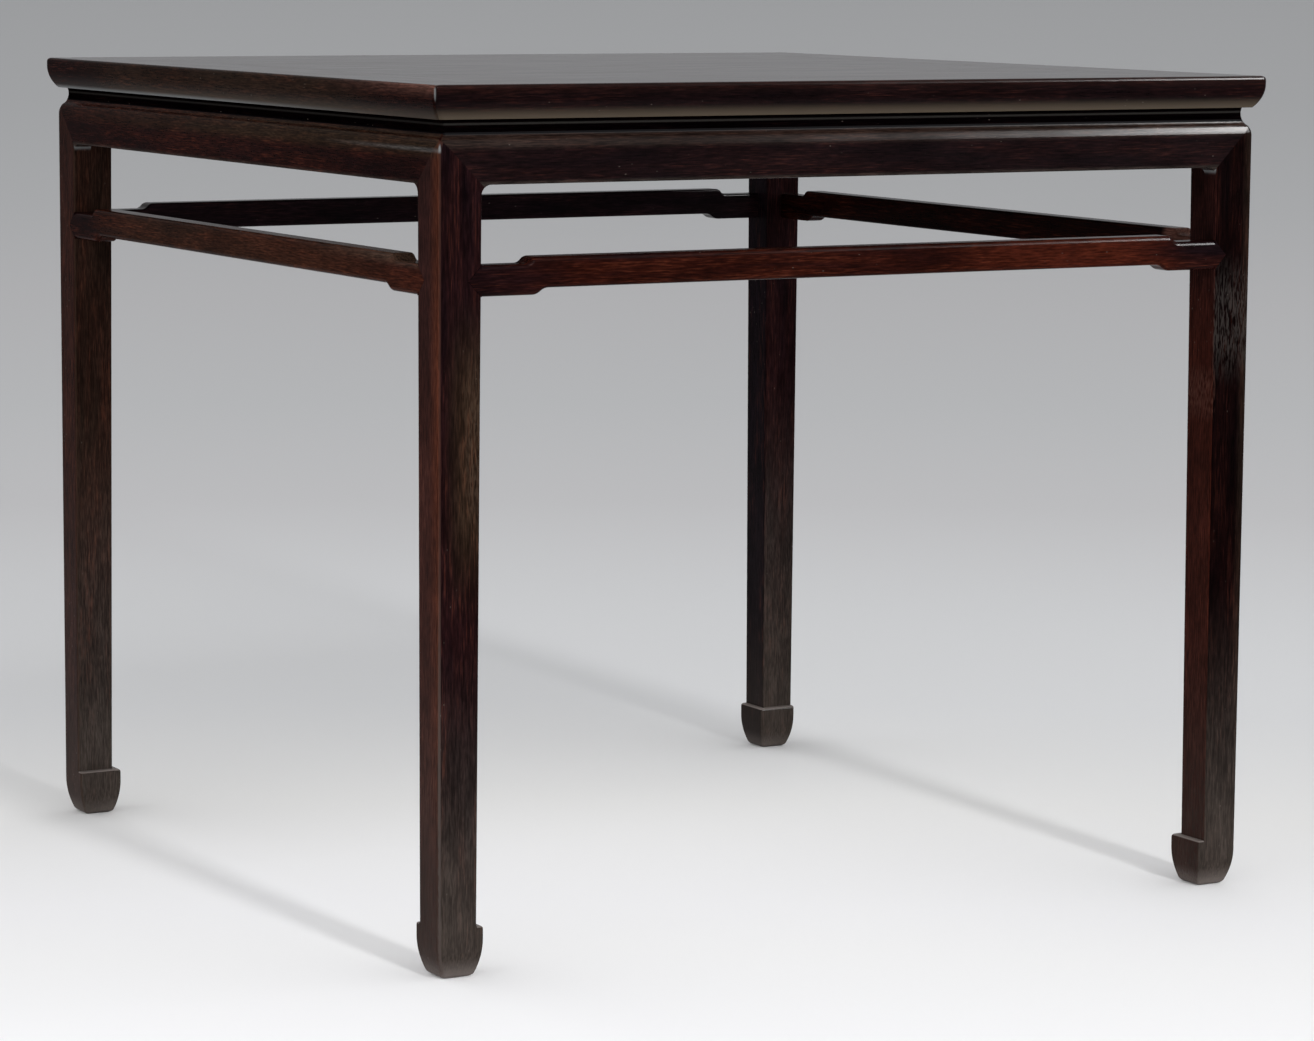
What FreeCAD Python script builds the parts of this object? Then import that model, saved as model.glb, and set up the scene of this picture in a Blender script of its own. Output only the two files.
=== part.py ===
"""Square waisted dining table for eight sitters, in the Ming manner.

A mitred frame holds a floating panel of boards. Four legs stand flush with the aprons, end in
hoof feet and are tied by humpback stretchers. Everything is joined in wood.

Millimetres, +Z up. The origin is on the floor, at the centre of the table, and -Y is the front.

Each corner is drawn once, in corner coordinates: u and v run inwards from the outer faces of the
leg, along the front side and away from it. Each side is drawn once, at the front, and turned.
"""
import FreeCAD, Part
import math
import os

Vector = FreeCAD.Vector
UP = Vector(0, 0, 1)

# ---- Overall ---------------------------------------------------------------------------------
table_height = 860.0
top_side = 972.0              # the top is square
fit_clearance = 0.15          # round tenons, tongues and dovetails
end_clearance = 1.0           # beyond the end of a blind tenon

# ---- Top frame -------------------------------------------------------------------------------
frame_thickness = 33.0
frame_width = 97.0
edge_top_radius = 4.0         # upper arris of the moulded edge
edge_fullness_height = 24.0   # fullest line of the edge, above the underside
edge_undercut = 9.5           # how far the edge sweeps in below that line
frame_tenon_thickness = 8.0
frame_tenon_rise = 14.0       # underside of the tenon above the frame's underside
frame_tenon_setback = 35.0    # from the outer edge of the long member
frame_tenon_width = 40.0
frame_tenon_cover = 25.0      # wood left beyond the tenon in the end member

# ---- Floating panel --------------------------------------------------------------------------
board_count = 4
panel_thickness = 15.0
panel_gap = 0.3               # room for the panel to move inside the frame
tongue_thickness = 6.0
tongue_length = 8.0
tongue_drop = 6.0             # upper face of the tongue below the table's surface
board_tongue_thickness = 4.0
board_tongue_length = 5.0
batten_names = ("left", "middle", "right")
batten_width = 30.0
batten_depth = 22.0           # below the panel
dovetail_height = 5.0         # into the panel
dovetail_flare = 2.0          # each side
batten_tenon_thickness = 10.0
batten_tenon_length = 20.0
batten_tenon_shoulder = 5.0   # each side of the tenon

# ---- Waist -----------------------------------------------------------------------------------
waist_height = 12.5
waist_setback = 7.5           # behind the outer face of the apron
waist_hollow = 1.0            # depth of the shallow cove along the waist
waist_tongue_thickness = 4.0
waist_tongue_height = 4.0
waist_tongue_setback = 12.0   # from the outer face of the apron

# ---- Aprons ----------------------------------------------------------------------------------
apron_height = 49.5
apron_thickness = 20.0
shoulder_height = 16.5        # moulded slope that leads from the waist to the face
shoulder_radius = 18.0        # where the slope turns into the face
shoulder_hollow = 0.7         # depth of the slope's cove
spandrel_radius = 10.0        # curve between the apron's lower edge and the leg

# ---- Legs ------------------------------------------------------------------------------------
leg_setback = 10.0            # outer face of the leg behind the fullest line of the edge
leg_size = 46.0               # square, at the apron
leg_taper = 4.4               # how much narrower the leg is just above the hoof
leg_outer_arris = 4.0
leg_inner_arris = 2.5
leg_tenon_height = 12.0
leg_tenon_length = 12.0
leg_tenon_thickness = 10.0
leg_tenon_margin = 1.0        # from the faces of the leg's core
pin_neck = 9.0                # hanging dovetail on which apron and waist slide down
pin_head = 12.0
pin_depth = 6.0

# ---- Hoof feet -------------------------------------------------------------------------------
hoof_height = 50.5
hoof_step = 7.5               # ledge round the two inner faces
hoof_lip_radius = 3.0
hoof_outer_rise = 38.0        # where the outer face starts to curve in
hoof_outer_tuck = 8.5         # how far it has curved in at the floor
hoof_inner_rise = 38.0
hoof_inner_tuck = 7.5
hoof_floor_radius = 4.0

# ---- Stretchers ------------------------------------------------------------------------------
stretcher_drop = 171.0        # upper edge of the end sections, below the table's surface
stretcher_height = 30.0
stretcher_thickness = 25.0
stretcher_arris = 5.0         # round, on the outer face
stretcher_back_arris = 2.0    # flat chamfer
hump_rise = 6.5
upper_bend_start = 46.0       # from the leg
upper_bend_length = 14.0
lower_bend_start = 56.0
lower_bend_length = 18.0
point_length = 14.0           # pointed shoulder let into the face of the leg
point_depth = 7.0
stretcher_tenon_thickness = 10.0
stretcher_tenon_height = 18.0
stretcher_tenon_length = 25.0

# ---- Running keys behind aprons and waist ----------------------------------------------------
key_positions = (-1, 1)       # one each side of the middle of the table's side
key_offset = 215.0            # from the middle
key_neck = 10.0
key_head = 14.0
key_bed_depth = 6.0           # dovetail let into the backs of apron and waist
key_proud = 6.0               # part that stands behind them
key_start = 6.0               # above the lower edge of the apron
key_tenon_width = 9.0
key_tenon_height = 10.0

# ---- Levels and places that follow -----------------------------------------------------------
half_top = top_side / 2
half_leg = half_top - leg_setback
leg_foot_size = leg_size - leg_taper    # just above the hoof
half_panel = half_top - frame_width
frame_underside = table_height - frame_thickness
apron_top = frame_underside - waist_height
apron_bottom = apron_top - apron_height
spandrel_foot = apron_bottom - spandrel_radius
mitre = math.pi / 4                     # slope of the mitre between leg and apron
mitre_top = apron_bottom + leg_size
panel_underside = table_height - panel_thickness
tongue_top = table_height - tongue_drop
board_width = 2 * half_panel / board_count
stretcher_top = table_height - stretcher_drop
stretcher_middle = stretcher_top - stretcher_height / 2
half_bay = half_leg - leg_size          # from the middle of a side to the leg at the apron
past_all = top_side                     # long enough to run past any piece
same_point = 1e-6                       # closer than this, two points are one

SIDES = ("front", "right", "back", "left")
END_SIDES = ("right", "left")           # their frame members lie between the long ones
CORNERS = ("front_left", "front_right", "back_right", "back_left")


# ---- Helpers ---------------------------------------------------------------------------------
def closed_face(start, *runs):
    """Flat face: each run is the end of a straight line, or (through, end) of an arc."""
    edges = []
    here = start
    for run in runs:
        if isinstance(run, tuple):
            through, end = run
            edges.append(Part.Arc(here, through, end).toShape())
        else:
            end = run
            edges.append(Part.LineSegment(here, end).toShape())
        here = end
    if here.distanceToPoint(start) > same_point:
        edges.append(Part.LineSegment(here, start).toShape())
    return Part.Face(Part.Wire(edges))


def block(low, high):
    """Rectangular block between two opposite corners."""
    size = Vector(*high) - Vector(*low)
    return Part.makeBox(size.x, size.y, size.z, Vector(*low))


def bowed(start, end, sagitta):
    """Point on the arc from start to end that lies sagitta to the left of the chord in XZ."""
    along = (end - start).normalize()
    left = Vector(-along.z, 0, along.x)
    return (start + end) * 0.5 + left * sagitta


def tuck_arc(upper, lower):
    """Through point and end of an arc in XZ that leaves upper straight down and ends at lower."""
    tuck = lower.x - upper.x
    drop = upper.z - lower.z
    radius = (drop ** 2 + tuck ** 2) / (2 * abs(tuck))
    half_turn = math.asin(drop / radius) / 2
    inwards = math.copysign(1, tuck)
    through = Vector(upper.x + inwards * radius * (1 - math.cos(half_turn)), 0,
                     upper.z - radius * math.sin(half_turn))
    return through, lower


def turned(shape, quarter):
    """Shape turned by quarter turns about the table's vertical axis."""
    copy = shape.copy()
    copy.rotate(Vector(0, 0, 0), UP, 90 * quarter)
    return copy


def at_corner(shape):
    """Shape moved from corner coordinates to the front left corner of the legs."""
    copy = shape.copy()
    copy.translate(Vector(-half_leg, -half_leg, 0))
    return copy


def swapped(shape):
    """Corner shape with u and v changed over."""
    return shape.mirror(Vector(0, 0, 0), Vector(1, -1, 0))


def both_ends(shape):
    """Shape and its mirror image at the other end of the front side."""
    return [shape, shape.mirror(Vector(0, 0, 0), Vector(1, 0, 0))]


def without(shape, tools):
    """Shape with all the tools cut away, as one solid."""
    return shape.cut(tools).removeSplitter() if tools else shape


def plan_trapezoid(outer, depth, low, high):
    """Prism over the mitred strip at the front, from half side outer inwards by depth."""
    inner = outer - depth
    face = closed_face(Vector(-outer, -outer, low), Vector(outer, -outer, low),
                       Vector(inner, -inner, low), Vector(-inner, -inner, low))
    return face.extrude(UP * (high - low))


def dovetail_prism(centre, back, depth, neck, head, low, high):
    """Upright dovetail: neck wide on the plane v = back, head wide at depth in front of it."""
    face = closed_face(Vector(centre - neck / 2, back, low), Vector(centre - head / 2, back - depth, low),
                       Vector(centre + head / 2, back - depth, low), Vector(centre + neck / 2, back, low))
    return face.extrude(UP * (high - low))


# ---- Shoulder moulding shared by aprons and legs ---------------------------------------------
def shoulder_runs(side):
    """Runs from the face up over the moulded shoulder to the waist, with side as the (x) direction."""
    centre_offset = shoulder_radius - waist_setback
    reach = math.hypot(centre_offset, shoulder_height)
    lean = math.atan2(shoulder_height, centre_offset) - math.acos(shoulder_radius / reach)
    base = apron_top - shoulder_height

    def on_curve(angle):
        return Vector(side * shoulder_radius * (1 - math.cos(angle)), 0,
                      base + shoulder_radius * math.sin(angle))

    slope_start = on_curve(lean)
    slope_end = Vector(side * waist_setback, 0, apron_top)
    return [
        Vector(0, 0, base),
        (on_curve(lean / 2), slope_start),
        (bowed(slope_start, slope_end, -side * shoulder_hollow), slope_end),
    ]


# ---- Top frame -------------------------------------------------------------------------------
def frame_member_blank():
    """Front member with its moulded edge, panel groove and mitred ends."""
    edge = -half_top
    inner = -half_panel
    fullness = frame_underside + edge_fullness_height
    arris_centre = table_height - edge_top_radius
    diagonal = edge_top_radius * (1 - math.sqrt(0.5))
    belly_through, belly_end = tuck_arc(Vector(edge, 0, fullness),
                                        Vector(edge + edge_undercut, 0, frame_underside))
    section = closed_face(
        Vector(inner, 0, frame_underside),
        Vector(inner, 0, tongue_top - tongue_thickness - fit_clearance),
        Vector(inner - tongue_length - end_clearance, 0, tongue_top - tongue_thickness - fit_clearance),
        Vector(inner - tongue_length - end_clearance, 0, tongue_top + fit_clearance),
        Vector(inner, 0, tongue_top + fit_clearance),
        Vector(inner, 0, table_height),
        Vector(edge + edge_top_radius, 0, table_height),
        (Vector(edge + diagonal, 0, table_height - diagonal), Vector(edge, 0, arris_centre)),
        Vector(edge, 0, fullness),
        (belly_through, belly_end),
    )
    bar = section.extrude(Vector(0, top_side, 0))
    bar.translate(Vector(0, -half_top, 0))
    bar.rotate(Vector(0, 0, 0), UP, 90)
    return bar.common(plan_trapezoid(half_top, frame_width, frame_underside, table_height))


def frame_tenon(play, end_play):
    """Tenon of the front member in the front left corner, grown by play for the mortise."""
    low = frame_underside + frame_tenon_rise
    return block(
        (-half_top + frame_tenon_cover - end_play, -half_top + frame_tenon_setback - play, low - play),
        (-half_top + frame_width, -half_top + frame_tenon_setback + frame_tenon_width + play,
         low + frame_tenon_thickness + play),
    )


def tenon_beyond_mitre():
    """Part of the front member's tenon that lies in the left end member."""
    beyond = closed_face(Vector(-half_top, -half_top, 0), Vector(-half_panel, -half_panel, 0),
                         Vector(-half_top, -half_panel, 0)).extrude(UP * table_height)
    return frame_tenon(0, 0).common(beyond)


def leg_tenons(play, end_play):
    """Pair of tenons on top of the leg, one for each of the two frame members over it."""
    far = leg_size - leg_tenon_margin
    near = apron_thickness + leg_tenon_margin
    tenon = block((far - leg_tenon_length - play, near - play, frame_underside - play),
                  (far + play, near + leg_tenon_thickness + play,
                   frame_underside + leg_tenon_height + end_play))
    return [tenon, swapped(tenon)]


def waist_tongue(play):
    """Stopped tongues on the upper and lower edge of the front waist, in the side's coordinates."""
    front = -half_leg + waist_tongue_setback
    return [
        block((-half_bay - play, front - play, level - waist_tongue_height - play),
              (half_bay + play, front + waist_tongue_thickness + play, level + waist_tongue_height + play))
        for level in (apron_top, frame_underside)
    ]


def frame_cuts():
    """Mortises in the underside of a front member for leg tenons, waist tongue and keys."""
    tools = waist_tongue(fit_clearance)
    for tenon in leg_tenons(fit_clearance, end_clearance):
        tools += both_ends(at_corner(tenon))
    for place in key_positions:
        tools.append(key_tenon(place, fit_clearance, end_clearance))
    return tools


def long_frame_member():
    """Front member: tenons at its ends, mortises for the battens."""
    member = frame_member_blank().fuse(both_ends(tenon_beyond_mitre()))
    return without(member, frame_cuts() + batten_tenons(fit_clearance, end_clearance))


def end_frame_member():
    """Member between the long ones, drawn at the front: mortised for their tenons."""
    mortises = []
    for mortise in both_ends(frame_tenon(fit_clearance, end_clearance)):
        mortises += [turned(mortise, 1), turned(mortise, 3)]
    return without(frame_member_blank(), frame_cuts() + mortises)


# ---- Floating panel --------------------------------------------------------------------------
def board_seams():
    """Y of both edges of each board, from front to back."""
    return [(-half_panel + i * board_width, -half_panel + (i + 1) * board_width)
            for i in range(board_count)]


def panel_board(index):
    """One board of the panel with its tongues, grooves and the dovetail housings below."""
    front, back = board_seams()[index]
    first = index == 0
    last = index == board_count - 1
    half_length = half_panel - panel_gap
    seam_middle = (panel_underside + dovetail_height + table_height) / 2
    board = block((-half_length, front + (panel_gap if first else 0), panel_underside),
                  (half_length, back - (panel_gap if last else 0), table_height))
    tongue_low = tongue_top - tongue_thickness
    reach = half_panel + tongue_length
    tongue = block((-reach, -reach if first else front, tongue_low),
                   (reach, reach if last else back, tongue_top))
    board = board.fuse(tongue)
    if not last:
        board = board.fuse(block(
            (-half_length, back, seam_middle - board_tongue_thickness / 2),
            (half_length, back + board_tongue_length, seam_middle + board_tongue_thickness / 2)))
    if not first:
        board = board.cut(block(
            (-past_all, front, seam_middle - board_tongue_thickness / 2 - fit_clearance),
            (past_all, front + board_tongue_length + end_clearance,
             seam_middle + board_tongue_thickness / 2 + fit_clearance)))
    return without(board, [batten_dovetail(x, fit_clearance) for x in batten_places()])


def batten_places():
    """X of each batten: the panel is shared out evenly between them."""
    count = len(batten_names)
    return [2 * half_panel * ((i + 0.5) / count - 0.5) for i in range(count)]


def batten_dovetail(x, play):
    """Dovetail along the top of a batten, over the full depth of the panel."""
    root = batten_width / 2 - dovetail_flare
    face = closed_face(Vector(x - root - play, 0, panel_underside),
                       Vector(x + root + play, 0, panel_underside),
                       Vector(x + root + dovetail_flare + play, 0, panel_underside + dovetail_height + play),
                       Vector(x - root - dovetail_flare - play, 0, panel_underside + dovetail_height + play))
    half_length = half_panel if play == 0 else past_all
    solid = face.extrude(Vector(0, 2 * half_length, 0))
    solid.translate(Vector(0, -half_length, 0))
    return solid


def batten_tenon(x, play, end_play):
    """Tenons at both ends of a batten, as one bar that runs through it."""
    half_width = batten_width / 2 - batten_tenon_shoulder
    middle = (frame_underside + panel_underside) / 2
    reach = half_panel + batten_tenon_length + end_play
    return block((x - half_width - play, -reach, middle - batten_tenon_thickness / 2 - play),
                 (x + half_width + play, reach, middle + batten_tenon_thickness / 2 + play))


def batten_tenons(play, end_play):
    """Tenon bars of all the battens."""
    return [batten_tenon(x, play, end_play) for x in batten_places()]


def batten(x):
    """Batten that keeps the boards flat: bar under the panel, dovetail above, tenons at the ends."""
    bar = block((x - batten_width / 2, -half_panel, panel_underside - batten_depth),
                (x + batten_width / 2, half_panel, panel_underside))
    return bar.fuse([batten_dovetail(x, 0), batten_tenon(x, 0, 0)]).removeSplitter()


# ---- Waist and aprons ------------------------------------------------------------------------
def waist():
    """Front waist: shallow cove outside, tongues above and below, mitred ends."""
    outer = -half_leg + waist_setback
    back = -half_leg + apron_thickness
    low = Vector(outer, 0, apron_top)
    high = Vector(outer, 0, frame_underside)
    section = closed_face(low, (bowed(low, high, -waist_hollow), high),
                          Vector(back, 0, frame_underside), Vector(back, 0, apron_top))
    bar = section.extrude(Vector(0, top_side, 0))
    bar.translate(Vector(0, -half_top, 0))
    bar.rotate(Vector(0, 0, 0), UP, 90)
    bar = bar.common(plan_trapezoid(half_leg, apron_thickness, apron_top, frame_underside))
    tenons = [key_tenon(place, fit_clearance, end_clearance) for place in key_positions]
    return without(bar.fuse(waist_tongue(0)), dovetail_housings() + tenons)


def on_spandrel(angle):
    """Point of the curve between leg and apron, in corner coordinates, angle up from the leg."""
    return Vector(leg_size + spandrel_radius * (1 - math.cos(angle)), 0,
                  spandrel_foot + spandrel_radius * math.sin(angle))


def half_apron_outline():
    """Face view of the apron's left half in corner coordinates, mitred up to the corner."""
    middle = half_leg
    return closed_face(
        Vector(middle, 0, apron_top), Vector(middle, 0, apron_bottom),
        on_spandrel(math.pi / 2), (on_spandrel((mitre + math.pi / 2) / 2), on_spandrel(mitre)),
        Vector(0, 0, mitre_top), Vector(0, 0, apron_top),
    )


def apron():
    """Front apron: moulded shoulder, curved corners, mitred ends hung on the legs' dovetails."""
    back = apron_thickness
    section = closed_face(Vector(back, 0, spandrel_foot), Vector(0, 0, spandrel_foot),
                          *shoulder_runs(1), Vector(back, 0, apron_top))
    bar = section.extrude(Vector(0, top_side, 0))
    bar.translate(Vector(-half_leg, -half_top, 0))
    bar.rotate(Vector(0, 0, 0), UP, 90)
    left, right = both_ends(at_corner(half_apron_outline().extrude(Vector(0, apron_thickness, 0))))
    plan = plan_trapezoid(half_leg, apron_thickness, spandrel_foot, apron_top)
    solid = bar.common(left.fuse(right)).common(plan)
    return without(solid, dovetail_housings() + waist_tongue(fit_clearance))


def hanging_pin(play, low):
    """Dovetail on the front of the leg's core, in corner coordinates, from low to the frame."""
    middle = (apron_thickness + leg_size) / 2
    return dovetail_prism(middle, apron_thickness, pin_depth + play, pin_neck + 2 * play,
                          pin_head + 2 * play, low, frame_underside)


def dovetail_housings():
    """Slots in the backs of the front apron and waist, for the legs' pins and for the keys."""
    slots = both_ends(at_corner(hanging_pin(fit_clearance, spandrel_foot)))
    slots += [key_dovetail(place, fit_clearance) for place in key_positions]
    return slots


# ---- Keys ------------------------------------------------------------------------------------
def key_dovetail(place, play):
    """Dovetailed half of a key, in the backs of apron and waist."""
    solid = dovetail_prism(place * key_offset, 0, key_bed_depth + play, key_neck + 2 * play,
                           key_head + 2 * play, apron_bottom + key_start - play, frame_underside)
    solid.translate(Vector(0, -half_leg + apron_thickness, 0))
    return solid


def key_tenon(place, play, end_play):
    """End of a key that enters the underside of the frame."""
    middle = -half_leg + apron_thickness
    return block((place * key_offset - key_tenon_width / 2 - play, middle - key_bed_depth - play,
                  frame_underside - play),
                 (place * key_offset + key_tenon_width / 2 + play, middle + key_proud + play,
                  frame_underside + key_tenon_height + end_play))


def key(place):
    """Key that ties apron and waist to the frame."""
    back = -half_leg + apron_thickness
    proud = block((place * key_offset - key_head / 2, back, apron_bottom + key_start),
                  (place * key_offset + key_head / 2, back + key_proud, frame_underside))
    parts = [proud, key_tenon(place, 0, 0)]
    return key_dovetail(place, 0).fuse(parts).removeSplitter()


# ---- Legs ------------------------------------------------------------------------------------
def leg_side_view():
    """Side view of a leg in corner coordinates, from the floor to the frame."""
    hoof_size = leg_foot_size + hoof_step
    lip = hoof_lip_radius * math.sqrt(0.5)
    outer_through, outer_floor = tuck_arc(Vector(0, 0, hoof_outer_rise), Vector(hoof_outer_tuck, 0, 0))
    inner_through, inner_floor = tuck_arc(Vector(hoof_size, 0, hoof_inner_rise),
                                          Vector(hoof_size - hoof_inner_tuck, 0, 0))
    lip_centre = Vector(hoof_size - hoof_lip_radius, 0, hoof_height - hoof_lip_radius)
    return closed_face(
        outer_floor, (outer_through, Vector(0, 0, hoof_outer_rise)), *shoulder_runs(1),
        Vector(waist_setback, 0, frame_underside), Vector(leg_size, 0, frame_underside),
        Vector(leg_size, 0, spandrel_foot), Vector(leg_foot_size, 0, hoof_height),
        Vector(lip_centre.x, 0, hoof_height),
        (lip_centre + Vector(lip, 0, lip), Vector(hoof_size, 0, lip_centre.z)),
        Vector(hoof_size, 0, hoof_inner_rise), (inner_through, inner_floor),
    )


def sharp_leg():
    """Leg before its arrises are eased: two side views crossed at right angles."""
    slab = leg_side_view().extrude(Vector(0, leg_size + hoof_step, 0))
    return slab.common(swapped(slab))


def climbs(edge):
    """True for an edge that runs up a corner of the leg."""
    box = edge.BoundBox
    return box.ZLength > max(box.XLength, box.YLength, fit_clearance)


def on_outer_corner(edge):
    """True for an edge on the corner of the leg that faces outwards."""
    middle = edge.BoundBox.Center
    return max(middle.x, middle.y) < leg_size / 2


def eased_corner(solid):
    """Solid with its outward corner rounded."""
    return solid.makeFillet(leg_outer_arris,
                            [edge for edge in solid.Edges if climbs(edge) and on_outer_corner(edge)])


def eased_leg():
    """Leg with its arrises rounded, more on the outer corner, and its floor edges eased."""
    leg = sharp_leg()
    size = leg_size + hoof_step
    hoof = eased_corner(leg.common(block((0, 0, 0), (size, size, hoof_height))))
    hoof = hoof.makeFillet(hoof_floor_radius,
                           [edge for edge in hoof.Edges if edge.BoundBox.ZMax < fit_clearance])
    shaft = eased_corner(leg.common(block((0, 0, hoof_height), (size, size, spandrel_foot))))
    shaft = shaft.makeFillet(leg_inner_arris,
                             [edge for edge in shaft.Edges if climbs(edge) and not on_outer_corner(edge)])
    top = eased_corner(leg.common(block((0, 0, spandrel_foot), (size, size, frame_underside))))
    return shaft.fuse([hoof, top])


def corner_joint_cut():
    """What front apron and waist take out of the leg above the mitre, in corner coordinates."""
    past = leg_size + spandrel_radius
    face = closed_face(Vector(-past, 0, mitre_top + past), Vector(past, 0, mitre_top - past),
                       Vector(past, 0, table_height), Vector(-past, 0, table_height))
    return face.extrude(Vector(0, apron_thickness, 0))


def spandrel_ear():
    """Lower half of the curve between leg and apron, left standing on the leg."""
    inside = leg_foot_size - leg_inner_arris
    face = closed_face(Vector(inside, 0, spandrel_foot), on_spandrel(0),
                       (on_spandrel(mitre / 2), on_spandrel(mitre)),
                       Vector(inside, 0, mitre_top - inside))
    return face.extrude(Vector(0, apron_thickness, 0))


def stretcher_point():
    """Pointed shoulder of the front stretcher that is let into the face of the leg."""
    side = leg_at_stretcher()
    half_height = stretcher_height / 2
    face = closed_face(Vector(side - point_length, 0, stretcher_middle),
                       Vector(side, 0, stretcher_middle + half_height),
                       Vector(leg_size, 0, stretcher_middle + half_height),
                       Vector(leg_size, 0, stretcher_middle - half_height),
                       Vector(side, 0, stretcher_middle - half_height))
    return face.extrude(Vector(0, point_depth, 0))


def leg_at_stretcher():
    """Size of the tapered leg at the middle of the stretchers."""
    up = (stretcher_middle - hoof_height) / (spandrel_foot - hoof_height)
    return leg_foot_size + (leg_size - leg_foot_size) * up


def stretcher_tenon(play, end_play):
    """Tenon of the front stretcher in corner coordinates, grown by play for the mortise."""
    middle = stretcher_thickness / 2
    size = leg_at_stretcher()
    return block((size - stretcher_tenon_length - end_play, middle - stretcher_tenon_thickness / 2 - play,
                  stretcher_middle - stretcher_tenon_height / 2 - play),
                 (size + stretcher_arris, middle + stretcher_tenon_thickness / 2 + play,
                  stretcher_middle + stretcher_tenon_height / 2 + play))


def leg():
    """Front left leg in corner coordinates."""
    joint = corner_joint_cut()
    additions = [spandrel_ear(), hanging_pin(0, apron_bottom)]
    additions += [swapped(part) for part in additions]
    cuts = [stretcher_point(), stretcher_tenon(fit_clearance, end_clearance)]
    cuts += [swapped(cut) for cut in cuts]
    shape = eased_leg().cut([joint, swapped(joint)])
    return without(shape.fuse(additions + leg_tenons(0, 0)), cuts)


# ---- Stretchers ------------------------------------------------------------------------------
def s_bend(start, end):
    """Runs of the two equal arcs that lead from start to end, level at both."""
    run = end.x - start.x
    rise = end.z - start.z
    radius = (run ** 2 + rise ** 2) / (4 * abs(rise))
    half_turn = math.asin(abs(run) / 2 / radius) / 2
    offset = Vector(math.copysign(radius * math.sin(half_turn), run), 0,
                    math.copysign(radius * (1 - math.cos(half_turn)), rise))
    return [(start + offset, (start + end) * 0.5), (end - offset, end)]


def stretcher_outline():
    """Face view of the humpback stretcher, running on into the legs."""
    top = stretcher_top
    low = stretcher_top - stretcher_height
    leg_face = half_leg - leg_at_stretcher()
    end = half_bay + leg_size / 2
    upper_near = leg_face - upper_bend_start
    upper_far = upper_near - upper_bend_length
    lower_near = leg_face - lower_bend_start
    lower_far = lower_near - lower_bend_length
    return closed_face(
        Vector(-end, 0, low), Vector(-end, 0, top), Vector(-upper_near, 0, top),
        *s_bend(Vector(-upper_near, 0, top), Vector(-upper_far, 0, top + hump_rise)),
        Vector(upper_far, 0, top + hump_rise),
        *s_bend(Vector(upper_far, 0, top + hump_rise), Vector(upper_near, 0, top)),
        Vector(end, 0, top), Vector(end, 0, low), Vector(lower_near, 0, low),
        *s_bend(Vector(lower_near, 0, low), Vector(lower_far, 0, low + hump_rise)),
        Vector(-lower_far, 0, low + hump_rise),
        *s_bend(Vector(-lower_far, 0, low + hump_rise), Vector(-lower_near, 0, low)),
    )


def long_edges(bar, y):
    """Edges of the front stretcher that run along its hump, on the face at y."""
    return [edge for edge in bar.Edges if edge.BoundBox.XLength > fit_clearance
            and max(abs(edge.BoundBox.YMin - y), abs(edge.BoundBox.YMax - y)) < fit_clearance]


def stretcher():
    """Front stretcher: hump, eased arrises, shoulders, points and tenons."""
    bar = stretcher_outline().extrude(Vector(0, stretcher_thickness, 0))
    bar.translate(Vector(0, -half_leg, 0))
    bar = bar.makeFillet(stretcher_arris, long_edges(bar, -half_leg))
    bar = bar.makeChamfer(stretcher_back_arris, long_edges(bar, -half_leg + stretcher_thickness))
    bar = bar.cut(both_ends(at_corner(sharp_leg())))
    for joint in (stretcher_tenon(0, 0), stretcher_point().common(sharp_leg())):
        bar = bar.fuse(both_ends(at_corner(joint)))
    return bar.removeSplitter()


# ---- Table -----------------------------------------------------------------------------------
def table():
    """All the pieces by node name."""
    pieces = {}
    for quarter, side in enumerate(SIDES):
        member = end_frame_member() if side in END_SIDES else long_frame_member()
        pieces["frame_" + side] = turned(member, quarter)
        pieces["waist_" + side] = turned(waist(), quarter)
        pieces["apron_" + side] = turned(apron(), quarter)
        pieces["stretcher_" + side] = turned(stretcher(), quarter)
        for number, place in enumerate(key_positions, 1):
            pieces["key_%s_%d" % (side, number)] = turned(key(place), quarter)
    for quarter, corner in enumerate(CORNERS):
        pieces["leg_" + corner] = turned(at_corner(leg()), quarter)
    for index in range(board_count):
        pieces["panel_board_%d" % (index + 1)] = panel_board(index)
    for name, x in zip(batten_names, batten_places()):
        pieces["batten_" + name] = batten(x)
    return pieces


def main():
    os.makedirs("parts", exist_ok=True)
    for name, shape in table().items():
        print(name, len(shape.Solids), shape.isValid(), round(shape.Volume))
        shape.exportStep(os.path.join("parts", name + ".step"))


main()
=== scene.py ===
"""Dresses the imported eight-seat table: its outer members, their wood and a plain studio.

Metres, +Z up, origin on the floor at the centre of the table, front towards -Y. Each corner is
drawn once at the front left and each side once at the front, and both are then turned round the
table. Corner coordinates u and v run inwards from the outer faces of the leg.
"""
import math

import bmesh
import bpy
from mathutils import Euler, Matrix, Vector


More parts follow.
